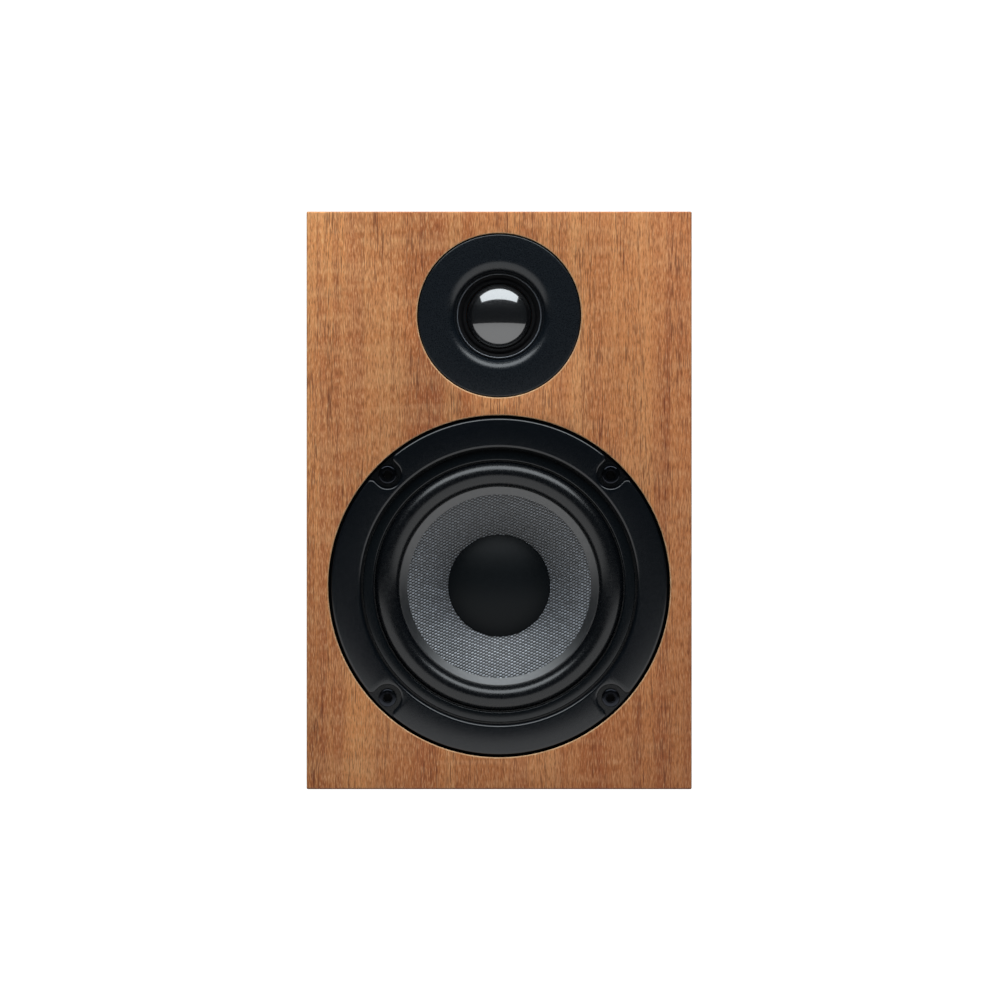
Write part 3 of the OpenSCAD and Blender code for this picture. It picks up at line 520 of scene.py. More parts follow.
def rubber(name, roughness, **sockets):
    """Smooth black rubber with a faint bloom."""
    look = Look(name, srgb(5, 7, 10), roughness, **sockets)
    skin = look.noise(look.object, 900.0, detail=3, roughness=0.55)
    bloom = look.noise(look.object, 45.0, detail=3)
    look.set("Base Color", look.mix(look.remap(bloom, 0.35, 0.7, 0.0, 0.5), srgb(4, 6, 9), srgb(9, 12, 16)))
    look.set("Roughness", look.remap(skin, 0.3, 0.75, roughness - 0.04, roughness + 0.06))
    look.bump(skin, 0.00001, 0.25)
    return look.material


def coated_silk():
    """A silk dome under a glossy damping coat: the weave shows as fine sparkle."""
    look = Look("coated silk", srgb(8, 8, 9), 0.3, Coat_Weight=1.0, Coat_Roughness=0.07, Coat_IOR=2.05,
                Specular_IOR_Level=0.2)
    threads = look.node("ShaderNodeTexVoronoi", feature="F1")
    look.feed(threads.inputs["Vector"], look.object)
    threads.inputs["Scale"].default_value = 3600.0
    pebble = look.noise(look.object, 1500.0, detail=2)
    height = look.math("ADD", threads.outputs["Distance"], pebble)
    paler = look.remap(pebble, 0.4, 0.75, 0.0, 0.5)
    look.set("Base Color", look.mix(paler, srgb(8, 8, 9), srgb(24, 24, 26)))
    look.bump(height, 0.00003, 0.6)
    return look.material


def roll_cloth():
    """Dull black cloth for the roll round the dome."""
    look = Look("roll cloth", srgb(4, 4, 5), 0.85, Specular_IOR_Level=0.12)
    threads = look.noise(look.object, 2600.0, detail=2)
    dust = look.noise(look.object, 260.0, detail=3)
    look.set("Base Color", look.mix(look.remap(threads, 0.4, 0.7), srgb(2, 2, 3), srgb(9, 9, 11)))
    look.set("Roughness", look.remap(dust, 0.3, 0.7, 0.75, 0.9))
    look.bump(threads, 0.00003, 0.6)
    return look.material


def fibre_wadding():
    """White polyester wadding: tangled fibres over soft lumps."""
    look = Look("polyester wadding", srgb(214, 214, 210), 0.95, Sheen_Weight=0.4)
    tangle = look.noise(look.object, 700.0, detail=5, roughness=0.7, distortion=2.5)
    lumps = look.noise(look.object, 60.0, detail=3)
    colour = look.mix(look.remap(tangle, 0.35, 0.65), srgb(176, 176, 172), srgb(228, 228, 224))
    look.set("Base Color", look.mix(look.remap(lumps, 0.35, 0.7, 0.0, 0.3), colour, srgb(188, 186, 178)))
    look.bump(tangle, 0.0006, 0.7)
    return look.material


def spider_cloth():
    """Cotton cloth stiffened with amber resin, its threads square to the driver."""
    look = Look("spider cloth", srgb(196, 150, 84), 0.7)
    x, _, z = look.split(look.stretch((2200, 2200, 2200)))
    weave = look.math("MULTIPLY", look.math("SINE", x), look.math("SINE", z))
    stain = look.noise(look.object, 90.0, detail=3)
    colour = look.mix(look.remap(weave, -0.6, 0.6), srgb(150, 108, 56), srgb(208, 164, 98))
    look.set("Base Color", look.mix(look.remap(stain, 0.35, 0.7, 0.0, 0.5), colour, srgb(160, 110, 54)))
    look.bump(weave, 0.00008, 0.7)
    return look.material


def circuit_board():
    """Green solder mask over tracks that run square to the board's edges."""
    look = Look("circuit board", srgb(24, 74, 44), 0.35)
    x, y, _ = look.split()
    coarse_x = look.math("FLOOR", look.math("MULTIPLY", x, 140.0))
    coarse_y = look.math("FLOOR", look.math("MULTIPLY", y, 140.0))
    combine = look.node("ShaderNodeCombineXYZ")
    look.feed(combine.inputs[0], coarse_x)
    look.feed(combine.inputs[1], coarse_y)
    cell = look.node("ShaderNodeTexWhiteNoise", noise_dimensions="3D")
    look.feed(cell.inputs["Vector"], combine.outputs[0])
    track = look.remap(cell.outputs["Value"], 0.48, 0.52)
    weave = look.noise(look.stretch((2600, 900, 900)), detail=1)
    colour = look.mix(track, srgb(18, 58, 34), srgb(34, 96, 54))
    look.set("Base Color", look.mix(look.remap(weave, 0.4, 0.7, 0.0, 0.3), colour, srgb(52, 110, 66)))
    look.bump(track, 0.00004, 0.5)
    return look.material


WALNUT_FRONT = veneer("walnut front", "z", "y")
WALNUT_SIDE = veneer("walnut side", "z", "x")
WALNUT_TOP = veneer("walnut top", "x", "z")
PALE_EDGE_WITH_PAINTED_HIGHLIGHT = pale_edge_with_painted_highlight()
BASKET = moulded("basket plastic", srgb(3, 7, 12), 0.2, depth=0.00001, fleck=0.4, Specular_IOR_Level=0.45)
TRIM = moulded("trim plastic", srgb(5, 10, 14), 0.16, depth=0.00001, fleck=0.4, Specular_IOR_Level=0.35)
FACEPLATE = moulded("faceplate plastic", srgb(5, 11, 17), 0.29, depth=0.00002, fleck=0.6,
                    Specular_IOR_Level=0.45)
# Pale grey: a painted highlight on the bead of the tweeter's retaining ring.
RING_PAINTED_HIGHLIGHT = moulded("ring plastic", srgb(92, 95, 100), 0.2, grain=900.0, depth=0.00001, fleck=0.1)
CAP_PLASTIC = moulded("cap plastic", srgb(3, 7, 10), 0.46, grain=2200.0, depth=0.00002,
                      Specular_IOR_Level=0.14)
SCREW_STEEL = metal("black oxide steel", srgb(42, 44, 49), 0.16)
# Near-black painted shade for the recess walls, the screws' hex sockets and the inside of the tweeter's
# ring.
PAINTED_RECESS_SHADE = moulded("painted recess shade", srgb(4, 4, 5), 0.7, grain=700.0, depth=0.00004,
                       Specular_IOR_Level=0.1)
FOAM = moulded("closed-cell foam", srgb(16, 16, 17), 0.85, grain=1500.0, depth=0.0001)
BLACK_STEEL = metal("blackened steel", srgb(30, 30, 33), 0.32)
ZINC = metal("zinc-plated steel", srgb(196, 198, 202), 0.32)
GOLD = metal("gold plate", srgb(226, 186, 110), 0.16)
COPPER = metal("copper", srgb(190, 110, 62), 0.3)
FOIL = metal("former foil", srgb(210, 211, 214), 0.3)
TIN = metal("tinned brass", srgb(188, 186, 178), 0.35)
TINSEL = metal("braided tinsel", srgb(178, 128, 78), 0.35)
FIBRE = woven_fibre()
RUBBER = rubber("surround rubber", 0.26, Specular_IOR_Level=0.4)
RUBBER_LIP = rubber("glued lip", 0.36, Specular_IOR_Level=1.0)
SILK = coated_silk()
ROLL_CLOTH = roll_cloth()
PAINT = moulded("satin black paint", srgb(22, 22, 24), 0.42, grain=700.0, depth=0.00004)
PORT_PLASTIC = moulded("port plastic", srgb(18, 19, 21), 0.36, grain=1600.0)
CUP_PLASTIC = moulded("terminal cup plastic", srgb(17, 18, 20), 0.42, grain=1800.0)
KNOB_RED = moulded("red knob", srgb(150, 18, 20), 0.3, grain=900.0, depth=0.00001, fleck=0.05)
KNOB_BLACK = moulded("black knob", srgb(20, 20, 22), 0.28, grain=900.0, depth=0.00001)
FERRITE = moulded("ferrite", srgb(54, 54, 57), 0.62, grain=900.0, depth=0.00006)
TAG_BOARD = moulded("tag board", srgb(150, 112, 70), 0.6, grain=1200.0)
NYLON = moulded("nylon", srgb(214, 210, 198), 0.45, grain=500.0, depth=0.00001, fleck=0.1)
BOBBIN = moulded("bobbin plastic", srgb(26, 26, 28), 0.45, grain=900.0)
CEMENT = moulded("resistor cement", srgb(206, 202, 192), 0.8, grain=1500.0, depth=0.00008, fleck=0.15)
FILM_SLEEVE = moulded("capacitor sleeve", srgb(24, 42, 92), 0.3, grain=500.0, depth=0.00001, fleck=0.1)
WIRE_RED = moulded("red wire", srgb(140, 20, 22), 0.4, grain=700.0, depth=0.00001, fleck=0.1)
WIRE_BLACK = moulded("black wire", srgb(20, 20, 21), 0.4, grain=700.0, depth=0.00001)
WADDING = fibre_wadding()
SPIDER_CLOTH = spider_cloth()
CIRCUIT = circuit_board()

# ---------------------------------------------------------------- cabinet

BAFFLE_T = half_size("front_baffle").y * 2 / MM
CABINET_W = half_size("front_baffle").x * 2 / MM
CABINET_H = half_size("front_baffle").z * 2 / MM
EDGE_R = 0.6
RECESS_R = half_size("woofer_basket").x / MM + 0.9
TWEETER_RECESS_R = half_size("tweeter_faceplate").x / MM + 0.35
WOOFER_RECESS = 5.0
TWEETER_RECESS = 4.5
WOOFER_BORE_R = 58.0
TWEETER_BORE_R = 24.6
SCREW_CIRCLE_R = 61.5
TWEETER_SCREW_CIRCLE_R = 27.5
PILOT_R = 2.0


def recess_cutter(name, place, recess_r, depth, bore_r, ease=0.45):
    """A stepped cutter whose mouth flares a little, so the veneer's edge is eased."""
    outline = [(0, 2), (recess_r + ease, 2)]
    outline += [(recess_r + ease - dx, -dz) for dx, dz in arc(0, ease, ease, -90, 0, 4)]
    outline += [(recess_r, -depth), (bore_r, -depth), (bore_r, -BAFFLE_T - 2), (0, -BAFFLE_T - 2)]
    cutter = lathe(name, outline, place, PALE_EDGE_WITH_PAINTED_HIGHLIGHT, steps=256, closed=True)
    cutter.data.materials.append(PAINTED_RECESS_SHADE)
    # The eased lip takes the pale edge colour, a painted highlight along the rim.
    inverse = place.inverted()
    # The walls below the lip take near-black painted shade.
    for face in cutter.data.polygons:
        face.material_index = int((inverse @ face.center).z < -ease)
    return cutter


def hole_cutter(name, place, radius, low, high, steps=32):
    return lathe(name, [(0, high), (radius, high), (radius, low), (0, low)], place, None, steps=steps)


def build_baffle():
    centre_place = facing_front(TOP_Z / 2)
    levels = []
    for inset, level in [(EDGE_R - x, -EDGE_R + y) for x, y in arc(0, 0, EDGE_R, 90, 0, 5)]:
        outline = rounded_rect(CABINET_W - 2 * inset, CABINET_H - 2 * inset, max(EDGE_R - inset, 0.05))
        levels.append((outline, level))
    levels.append((rounded_rect(CABINET_W, CABINET_H, EDGE_R), -BAFFLE_T))
    board = loft("baffle", levels[::-1], centre_place, WALNUT_FRONT)
    carve(board, recess_cutter("cut", WOOFER, RECESS_R, WOOFER_RECESS, WOOFER_BORE_R))
    carve(board, recess_cutter("cut", TWEETER, TWEETER_RECESS_R, TWEETER_RECESS, TWEETER_BORE_R))
    for place in around(WOOFER, 4, SCREW_CIRCLE_R, 45):
        carve(board, hole_cutter("cut", place, PILOT_R, -20.0, -4.0))
    for place in around(TWEETER, 3, TWEETER_SCREW_CIRCLE_R, 270):
        carve(board, hole_cutter("cut", place, PILOT_R, -20.0, -4.0))
    return adopt(board, "cabinet", "walnut_veneer", "front_baffle")


build_baffle()

# ---------------------------------------------------------------- woofer

FLANGE_R = half_size("woofer_basket").x / MM
FLANGE_INNER_R = 54.0
FLANGE_EDGE_R = 1.2
POCKET_R = 5.3
POCKET_CORNER_R = 2.2
POCKET_FLOOR = -3.0
LEDGE_Z = -4.4
SHELF_Z = -28.0
SEAT_Z = -41.0


def pocket_outline(grow):
    """The pocket round a screw, open outwards, with its walls moved back by grow."""
    corner_y = POCKET_R + POCKET_CORNER_R
    corner_x = math.sqrt((FLANGE_R - POCKET_CORNER_R) ** 2 - corner_y ** 2) - SCREW_CIRCLE_R
    corner = POCKET_CORNER_R - grow
    points = arc(0, 0, POCKET_R + grow, 90, 270, 32)
    points += arc(corner_x, -corner_y, corner, 90, 0, 10)
    points += [(9, -corner_y), (9, corner_y)]
    points += arc(corner_x, corner_y, corner, 0, -90, 10)
    return points


def pocket_cutter(place, lip=0.8):
    """Cuts a pocket whose upper edge comes out rounded by lip."""
    stack = [(pocket_outline(0), POCKET_FLOOR)]
    for x, y in arc(0, 0, lip, 0, 90, 6):
        stack.append((pocket_outline(lip - x), -lip + y))
    stack.append((pocket_outline(lip), 1.0))
    return loft("cut", stack, place, None)


def build_basket():
    flange_bottom = -4.2
    outline = arc(FLANGE_R - FLANGE_EDGE_R, -FLANGE_EDGE_R, FLANGE_EDGE_R, 0, 90, 8)
    outline += arc(FLANGE_INNER_R + FLANGE_EDGE_R, -FLANGE_EDGE_R, FLANGE_EDGE_R, 90, 180, 8)
    outline += [
        (FLANGE_INNER_R, LEDGE_Z), (48.8, LEDGE_Z), (48.8, -7.4), (55, -7.4), (55, -13), (43, SHELF_Z),
        (37.5, SHELF_Z), (37.5, -31), (34.5, -38.5), (15, -38.5), (15, SEAT_Z), (38, SEAT_Z), (38, -38),
        (45.5, -31), (45.5, SHELF_Z), (57.5, -13), (57.5, flange_bottom), (FLANGE_R, flange_bottom),
    ]
    basket = lathe("basket", outline, WOOFER, BASKET, steps=256)
    window = rounded_rect(17, 20, 2.5)
    for place in around(WOOFER, 8, 0, 22.5):
        place = place @ Matrix.Rotation(math.pi / 2, 4, "Y") @ Matrix.Translation((18.5, 0, 0))
        carve(basket, loft("cut", [(window, 36), (window, 62)], place, None))
    for place in around(WOOFER, 4, SCREW_CIRCLE_R, 45):
        carve(basket, pocket_cutter(place))
        carve(basket, hole_cutter("cut", place, 2.4, -6.0, 0.0))
    return adopt(basket, "cabinet", "basket_plastic", "woofer_basket")


def hex_screw(name, place, shank_r, shank_l, head_r, head_h, socket_af, material):
    """A socket-head cap screw with an eased head and a hexagonal socket."""
    ease = 0.5
    bevel = 0.3
    socket_r = socket_af / math.sqrt(3)
    outline = [(0, -shank_l), (shank_r - 0.4, -shank_l), (shank_r, -shank_l + 0.6), (shank_r, 0)]
    outline.append((head_r, 0))
    outline += arc(head_r - ease, head_h - ease, ease, 0, 90, 5)
    outline += [(socket_r + 0.25, head_h), (0, head_h)]
    screw = lathe(name, outline, place, material, steps=64, sharp=12)
    hexagon = [(socket_r * math.cos(a), socket_r * math.sin(a)) for a in (math.pi / 3 * k for k in range(6))]
    mouth = socket_r + 0.2
    chamfer = [(0, head_h + bevel), (mouth + bevel, head_h + bevel), (mouth - bevel, head_h - bevel),
               (0, head_h - bevel)]
    carve(screw, lathe("cut", chamfer, place, material, steps=64), sharp=12)
    # The socket's walls take near-black painted shade.
    socket = loft("cut", [(hexagon, head_h - 1.9), (hexagon, head_h + 1)], place, PAINTED_RECESS_SHADE)
    return carve(screw, socket, sharp=12)


def build_woofer_screws():
    for i, place in enumerate(around(WOOFER, 4, SCREW_CIRCLE_R, 45, POCKET_FLOOR)):
        turn = place @ Matrix.Rotation(math.radians(17 + 31 * i), 4, "Z")
        screw = hex_screw(f"woofer_screw_{i + 1}", turn, 1.95, 16, 3.5, 2.6, 3.0, SCREW_STEEL)
        adopt(screw, "cabinet", "black_steel", "woofer_screws")


def build_trim_ring():
    bottom = LEDGE_Z + 0.7
    top = bottom + 1.3
    outline = [(53.1, bottom)] + arc(52.7, top - 0.4, 0.4, 0, 90, 5) + arc(49.6, top - 0.6, 0.6, 90, 180, 6)
    outline.append((49, bottom))
    ring = lathe("trim_ring", outline, WOOFER, TRIM, steps=256)
    return adopt(ring, "cabinet", "trim_plastic", "woofer_trim_ring")


NECK_R = 12.9
CONE_START_R = 13.2
CONE_R = half_size("woofer_cone").x / MM - 0.1
CONE_EDGE_Z = -5.5
CONE_DEPTH = 19.0
CONE_FLARE = 1.35
CONE_T = 0.8


def cone_level(radius):
    share = np.clip((radius - NECK_R) / (CONE_R - NECK_R), 0, 1)
    return CONE_EDGE_Z - CONE_DEPTH * (1 - share) ** CONE_FLARE


def build_cone():
    """A woven front face, one crowned patch to each crossing, closed by a smooth back."""
    samples = 3
    reach_u = math.ceil(CONE_R / THREAD_X) + 1
    reach_v = math.ceil((CONE_R + CONE_R * ROW_SLOPE) / THREAD_Z) + 1
    u = np.arange(-reach_u * samples, reach_u * samples + 1) / samples
    v = np.arange(-reach_v * samples, reach_v * samples + 1) / samples
    uu, vv = np.meshgrid(u, v, indexing="ij")
    x = uu * THREAD_X
    z = vv * THREAD_Z + x * ROW_SLOPE
    radius = np.hypot(x, z)

    # Height of the threads: a groove at each cell's edges and a crown across the thread on top.
    a, b = (uu % 1.0) * 2 - 1, (vv % 1.0) * 2 - 1
    weft_up = (np.floor(uu) + np.floor(vv)) % 2 == 0
    along, across = np.where(weft_up, a, b), np.where(weft_up, b, a)
    crown = np.sqrt(np.clip(1 - across ** 2, 0, 1)) * (1 - 0.5 * along ** 2)
    height = np.where(weft_up, 0.16, -0.14) * crown
    on_edge = (np.abs(a) > 0.999) | (np.abs(b) > 0.999)
    height[on_edge] = 0.0

    bm = bmesh.new()
    keep = (radius >= CONE_START_R) & (radius <= CONE_R)
    verts = {}
    for i, k in zip(*np.nonzero(keep)):
        level = cone_level(radius[i, k]) + CONE_T / 2 + height[i, k]
        verts[i, k] = bm.verts.new(WOOFER @ Vector((x[i, k], z[i, k], level)))
    for i, k in verts:
        corners = [(i, k), (i + 1, k), (i + 1, k + 1), (i, k + 1)]
        if all(c in verts for c in corners):
            bm.faces.new([verts[c] for c in corners])
    loose = [v for v in bm.verts if not v.link_faces]
    bmesh.ops.delete(bm, geom=loose, context="VERTS")
    front_edges = [e for e in bm.edges if e.is_boundary]
    inverse = WOOFER.inverted()
    for vert in {v for e in front_edges for v in e.verts}:
        p = inverse @ vert.co
        r = math.hypot(p.x, p.y)
        snapped = CONE_START_R if r < (NECK_R + CONE_R) / 2 else CONE_R
        vert.co = WOOFER @ Vector((p.x * snapped / r, p.y * snapped / r, cone_level(snapped) + CONE_T / 2))
    back_radii = np.linspace(CONE_START_R, CONE_R, 24)
    back = [(r, cone_level(r) - CONE_T / 2) for r in back_radii]
    before = set(bm.edges)
    lathe_into(bm, back, WOOFER, 192, closed=False)
    back_edges = [e for e in bm.edges if e not in before and e.is_boundary]

    def ring(edges, inner):
        middle = (NECK_R + CONE_R) / 2
        return [e for e in edges if ((inverse @ e.verts[0].co).xy.length < middle) == inner]

    for inner in (True, False):
        bmesh.ops.bridge_loops(bm, edges=ring(front_edges, inner) + ring(back_edges, inner))
    cone = from_bmesh("cone", bm, FIBRE, sharp=80)
    return adopt(cone, "woofer_moving_assembly", "woven_fibre", "woofer_cone")


def cap_outline(base_r, rise, thickness, base_z, steps=40):
    """A domed cap's outline from its crown down the outside and back up the inside."""
    sphere_r = (base_r ** 2 + rise ** 2) / (2 * rise)
    middle_z = base_z + rise - sphere_r
    edge = math.degrees(math.asin((sphere_r - rise) / sphere_r))
    outer = arc(0, middle_z, sphere_r, 90, edge, steps)
    inner = arc(0, middle_z, sphere_r - thickness, edge + 2, 90, steps)
    return outer + inner


def build_dust_cap():
    cap_r = half_size("woofer_dust_cap").x / MM
    rise = half_size("woofer_dust_cap").y * 2 / MM
    base_z = (FRONT_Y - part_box("woofer_dust_cap")[1][1]) / MM
    cap = lathe("dust_cap", cap_outline(cap_r, rise, 0.6, base_z), WOOFER, CAP_PLASTIC, steps=256)
    return adopt(cap, "woofer_moving_assembly", "cap_plastic", "woofer_dust_cap")


SURROUND_T = 0.7
SURROUND_OUTER_R = 48.3
SURROUND_INNER_R = 39.3
SURROUND_RISE = 3.6
LIP_R = 39.0


def surround_path():
    half = (SURROUND_OUTER_R - SURROUND_INNER_R) / 2
    middle = (SURROUND_OUTER_R + SURROUND_INNER_R) / 2
    radius = (half ** 2 + SURROUND_RISE ** 2) / (2 * SURROUND_RISE)
    start = math.degrees(math.asin((radius - SURROUND_RISE) / radius))
    base = LEDGE_Z + SURROUND_T / 2
    path = [(53.4, base), (51, base), (49, base)]
    path += arc(middle, base + SURROUND_RISE - radius, radius, start, 180 - start, 48)
    lift = CONE_T / 2 + SURROUND_T / 2 + 0.15
    lip = np.linspace(LIP_R, 36.0, 12)
    return path + [(r, float(cone_level(36.0)) + lift + 0.5 * (r - 36.0)) for r in lip]


def flex(piece):
    """Bakes a round flexible piece's placement into its mesh."""
    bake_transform(piece)


def build_surround():
    outline = sheet_outline(surround_path(), SURROUND_T)
    surround = lathe("surround", outline, WOOFER, RUBBER, steps=256, sharp=60)
    surround.data.materials.append(RUBBER_LIP)
    inverse = WOOFER.inverted()
    for face in surround.data.polygons:
        face.material_index = int((inverse @ face.center).xy.length < LIP_R)
    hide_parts("woofer_surround")
    flex(surround)
    return surround


build_basket()
build_woofer_screws()
build_trim_ring()
build_cone()
build_dust_cap()
build_surround()

# ---------------------------------------------------------------- tweeter

FACEPLATE_R = half_size("tweeter_faceplate").x / MM
THROAT_R = 17.3
MOUTH_R = 21.8
DOME_R = half_size("tweeter_dome").x / MM
DOME_BASE = (FRONT_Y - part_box("tweeter_dome")[1][1]) / MM
RING_R = half_size("tweeter_retaining_ring").x / MM
TWEETER_SEAT = -11.0
LEDGE_R = 14.7
ROLL_R = 0.7


def build_faceplate():
    mouth = MOUTH_R - THROAT_R
    outline = arc(FACEPLATE_R - 0.5, -0.5, 0.5, 0, 90, 6)
    outline += [(MOUTH_R - mouth * math.sin(a), -4.2 * (1 - math.cos(a)))
                for a in np.linspace(0, math.pi / 2, 25)]
    ledge = DOME_BASE - 0.15
    outline += [
        (THROAT_R, -5), (RING_R + 0.1, -5), (RING_R + 0.1, ledge), (LEDGE_R, ledge),
        (LEDGE_R, TWEETER_SEAT), (24.2, TWEETER_SEAT), (24.2, -4), (FACEPLATE_R, -4),
    ]
    plate = lathe("faceplate", outline, TWEETER, FACEPLATE, steps=256)
    return adopt(plate, "cabinet", "faceplate_plastic", "tweeter_faceplate")


def build_tweeter_ring():
    bottom = DOME_BASE + 0.15
    outline = [(RING_R, bottom)] + arc(RING_R - 0.25, bottom + 1.2, 0.25, 0, 180, 10)
    outline += [(RING_R - 0.6, bottom + 0.5), (15.2, bottom + 0.3), (14.9, bottom)]
    ring = lathe("retaining_ring", outline, TWEETER, RING_PAINTED_HIGHLIGHT, steps=192)
    # The bead's pale grey is a painted highlight; the faces inside it take near-black painted shade.
    ring.data.materials.append(PAINTED_RECESS_SHADE)
    inverse = TWEETER.inverted()
    for face in ring.data.polygons:
        face.material_index = int((inverse @ face.center).xy.length < RING_R - 0.5)
    return adopt(ring, "cabinet", "ring_plastic", "tweeter_retaining_ring")


def build_tweeter_surround():
    roll_middle = DOME_R + 0.25 + ROLL_R
    path = [(RING_R - 0.1, DOME_BASE), (15.4, DOME_BASE), (14.6, DOME_BASE)]
    path += arc(roll_middle, DOME_BASE, ROLL_R, 20, 170, 18)
    outline = sheet_outline(path, 0.3)
    surround = lathe("tweeter_surround_roll", outline, TWEETER, ROLL_CLOTH, steps=192, sharp=60)
    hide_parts("tweeter_surround")
    flex(surround)
    return surround


def build_dome():
    rise = half_size("tweeter_dome").y * 2 / MM
    dome = lathe("dome", cap_outline(DOME_R, rise, 0.35, DOME_BASE), TWEETER, SILK, steps=192)
    return adopt(dome, "tweeter_moving_assembly", "dome_cloth", "tweeter_dome")


build_faceplate()
build_tweeter_ring()
build_tweeter_surround()
build_dome()

# ---------------------------------------------------------------- woofer, inside

FORMER_R = half_size("woofer_coil_former").x / MM
SPIDER_Z = SHELF_Z + 0.3
COIL_L = half_size("woofer_voice_coil").y * 2 / MM
COIL_TOP = (FRONT_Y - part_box("woofer_voice_coil")[0][1]) / MM
TINSEL_ROUTE = [
    (3.6, -49.9, -29.5), (4.6, -51.6, -26), (8.5, -53, -23), (12.6, -50.5, -21.5), (14, -44.5, -21.2),
    (12, -36, -22), (9, -28, -22.6), (6.6, -22, -21.2), (5.6, -19.4, -19.3),
]


def gasket(name, inner_r, outer_r, low, high, place, node, count, circle_r, start):
    """A foam ring that bulges where it is squeezed, with a hole for each of count screws."""
    middle = (low + high) / 2
    half = (high - low) / 2
    bulge = half * 0.6
    outline = []
    for t in range(-90, 91, 30):
        a = math.radians(t)
        outline.append((outer_r - bulge + bulge * math.cos(a), middle + half * math.sin(a)))
    outline += [(inner_r, high), (inner_r, low)]
    ring = lathe(name, outline, place, FOAM, steps=192)
    for hole in around(place, count, circle_r, start):
        carve(ring, hole_cutter("cut", hole, PILOT_R, low - 1, high + 1))
    return adopt(ring, "cabinet", "foam", node)


def build_voice_coil(name, outer_r, inner_r, low, high, turns, place, body, node):
    coil = lathe(name, scallops(outer_r, low, high, turns, inner_r), place, COPPER, steps=128)
    return adopt(coil, body, "copper_wire", node)


def build_spider():
    radii = np.linspace(17, 37, 81)
    path = [(FORMER_R + 0.1, SPIDER_Z), (14, SPIDER_Z), (15.5, SPIDER_Z)]
    path += [(r, SPIDER_Z + 1.1 * math.sin(math.radians(5 * 360 * (r - 17) / 20))) for r in radii]
    path += [(39, SPIDER_Z), (42.6, SPIDER_Z)]
    spider = lathe("spider", sheet_outline(path, 0.5), WOOFER, SPIDER_CLOTH, steps=192, sharp=60)
    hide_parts("woofer_spider")
    flex(spider)


def build_tinsel_leads():
    for side, label in ((1, "right"), (-1, "left")):
        route = [(side * x, y, z) for x, y, z in TINSEL_ROUTE]
        lead = tube(f"tinsel_lead_{label}", route, 0.5, WOOFER, TINSEL,
                    sides=12, sub=12, strands=6, lay=2600.0)
        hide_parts("woofer_tinsel_leads")
        share = np.empty(len(lead.data.vertices), np.float32)
        lead.data.attributes["share"].data.foreach_get("value", share)
        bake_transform(lead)


def build_tag_strip():
    top = SHELF_Z
    place = WOOFER @ Matrix.Translation((0, -45.5 - 1.5, 0))
    board = rounded_block("tag_strip_board", 16, 3, 0.6, top - 10, top, 0.2, place, TAG_BOARD)
    adopt(board, "cabinet", "tag_board", "woofer_terminal_strip")
    for i, x in enumerate((-3.6, 3.6)):
        tag_place = WOOFER @ Matrix.Translation((x, -48.9, 0))
        tag = rounded_block(f"tag_strip_tag_{i + 1}", 3.2, 0.8, 0.2, top - 13, top, 0.15, tag_place, TIN)
        hole = tag_place @ Matrix.Translation((0, 0, top - 11.4)) @ Matrix.Rotation(math.pi / 2, 4, "X")
        carve(tag, hole_cutter("cut", hole, 0.8, -2, 2, steps=20))
        adopt(tag, "cabinet", "tag_board", "woofer_terminal_strip")


gasket("woofer_foam_gasket", 58.3, FLANGE_R - 0.3, -5.0, -4.2, WOOFER,
       "woofer_gasket", 4, SCREW_CIRCLE_R, 45)
build_voice_coil("woofer_coil", FORMER_R + 0.6, FORMER_R, COIL_TOP - COIL_L, COIL_TOP, 24, WOOFER,
                 "woofer_moving_assembly", "woofer_voice_coil")
build_spider()
build_tinsel_leads()
build_tag_strip()

# ---------------------------------------------------------------- tweeter, inside


def build_tweeter_screws():
    for i, seat in enumerate(around(TWEETER, 3, TWEETER_SCREW_CIRCLE_R, 270, -BAFFLE_T)):
        place = seat @ Matrix.Rotation(math.pi, 4, "X")
        screw = cross_screw(f"tweeter_screw_{i + 1}", place, 1.35, 16.4, 2.8, 2.1, BLACK_STEEL)
        adopt(screw, "cabinet", "zinc_steel", "tweeter_screws")


def build_rear_cup():
    end = -30.0
    body_r = half_size("tweeter_rear_cup").x / MM
    outline = [(body_r, TWEETER_SEAT)] + arc(body_r - 1.2, end + 1.2, 1.2, 0, -90, 6)
    outline += [(9, end), (8.4, end + 0.5), (7.8, end + 0.5), (7.2, end), (0, end), (0, end + 1.5)]
    outline += [(body_r - 1.5, end + 1.5), (body_r - 1.5, TWEETER_SEAT)]
    adopt(lathe("tweeter_rear_cup_shell", outline, TWEETER, BOBBIN, steps=192), "cabinet", "bobbin_plastic",
          "tweeter_rear_cup")


def build_tweeter_tags():
    for i, x in enumerate((-5, 5)):
        place = TWEETER @ Matrix.Translation((x, -18.0, 0))
        tag = rounded_block(f"tweeter_tag_{i + 1}", 2.8, 0.8, 0.2, -36, -30, 0.15, place, TIN)
        hole = place @ Matrix.Translation((0, 0, -34.4)) @ Matrix.Rotation(math.pi / 2, 4, "X")
        carve(tag, hole_cutter("cut", hole, 0.7, -2, 2, steps=20))
        adopt(tag, "cabinet", "tinned_brass", "tweeter_terminals")


gasket("tweeter_foam_gasket", 24.8, FACEPLATE_R - 0.3, -4.5, -4.0, TWEETER, "tweeter_gasket", 3,
       TWEETER_SCREW_CIRCLE_R, 270)
build_voice_coil("tweeter_coil", DOME_R + 0.3, DOME_R, -13.7, -11.3, 12, TWEETER, "tweeter_moving_assembly",
                 "tweeter_voice_coil")
build_tweeter_screws()
build_rear_cup()
build_tweeter_tags()

# ---------------------------------------------------------------- port and terminals

PORT = facing_rear(PORT_Z)
CUP = facing_rear(CUP_Z)
PORT_R = 18.0
PORT_L = 95.0
CUP_W, CUP_H = 64.0, 40.0
CUP_FLOOR = -20.0
CUP_BACK = -22.5
CUP_TOP = 3.3
CUP_GASKET_T = 0.8
POSTS = {"red": -1, "black": 1}


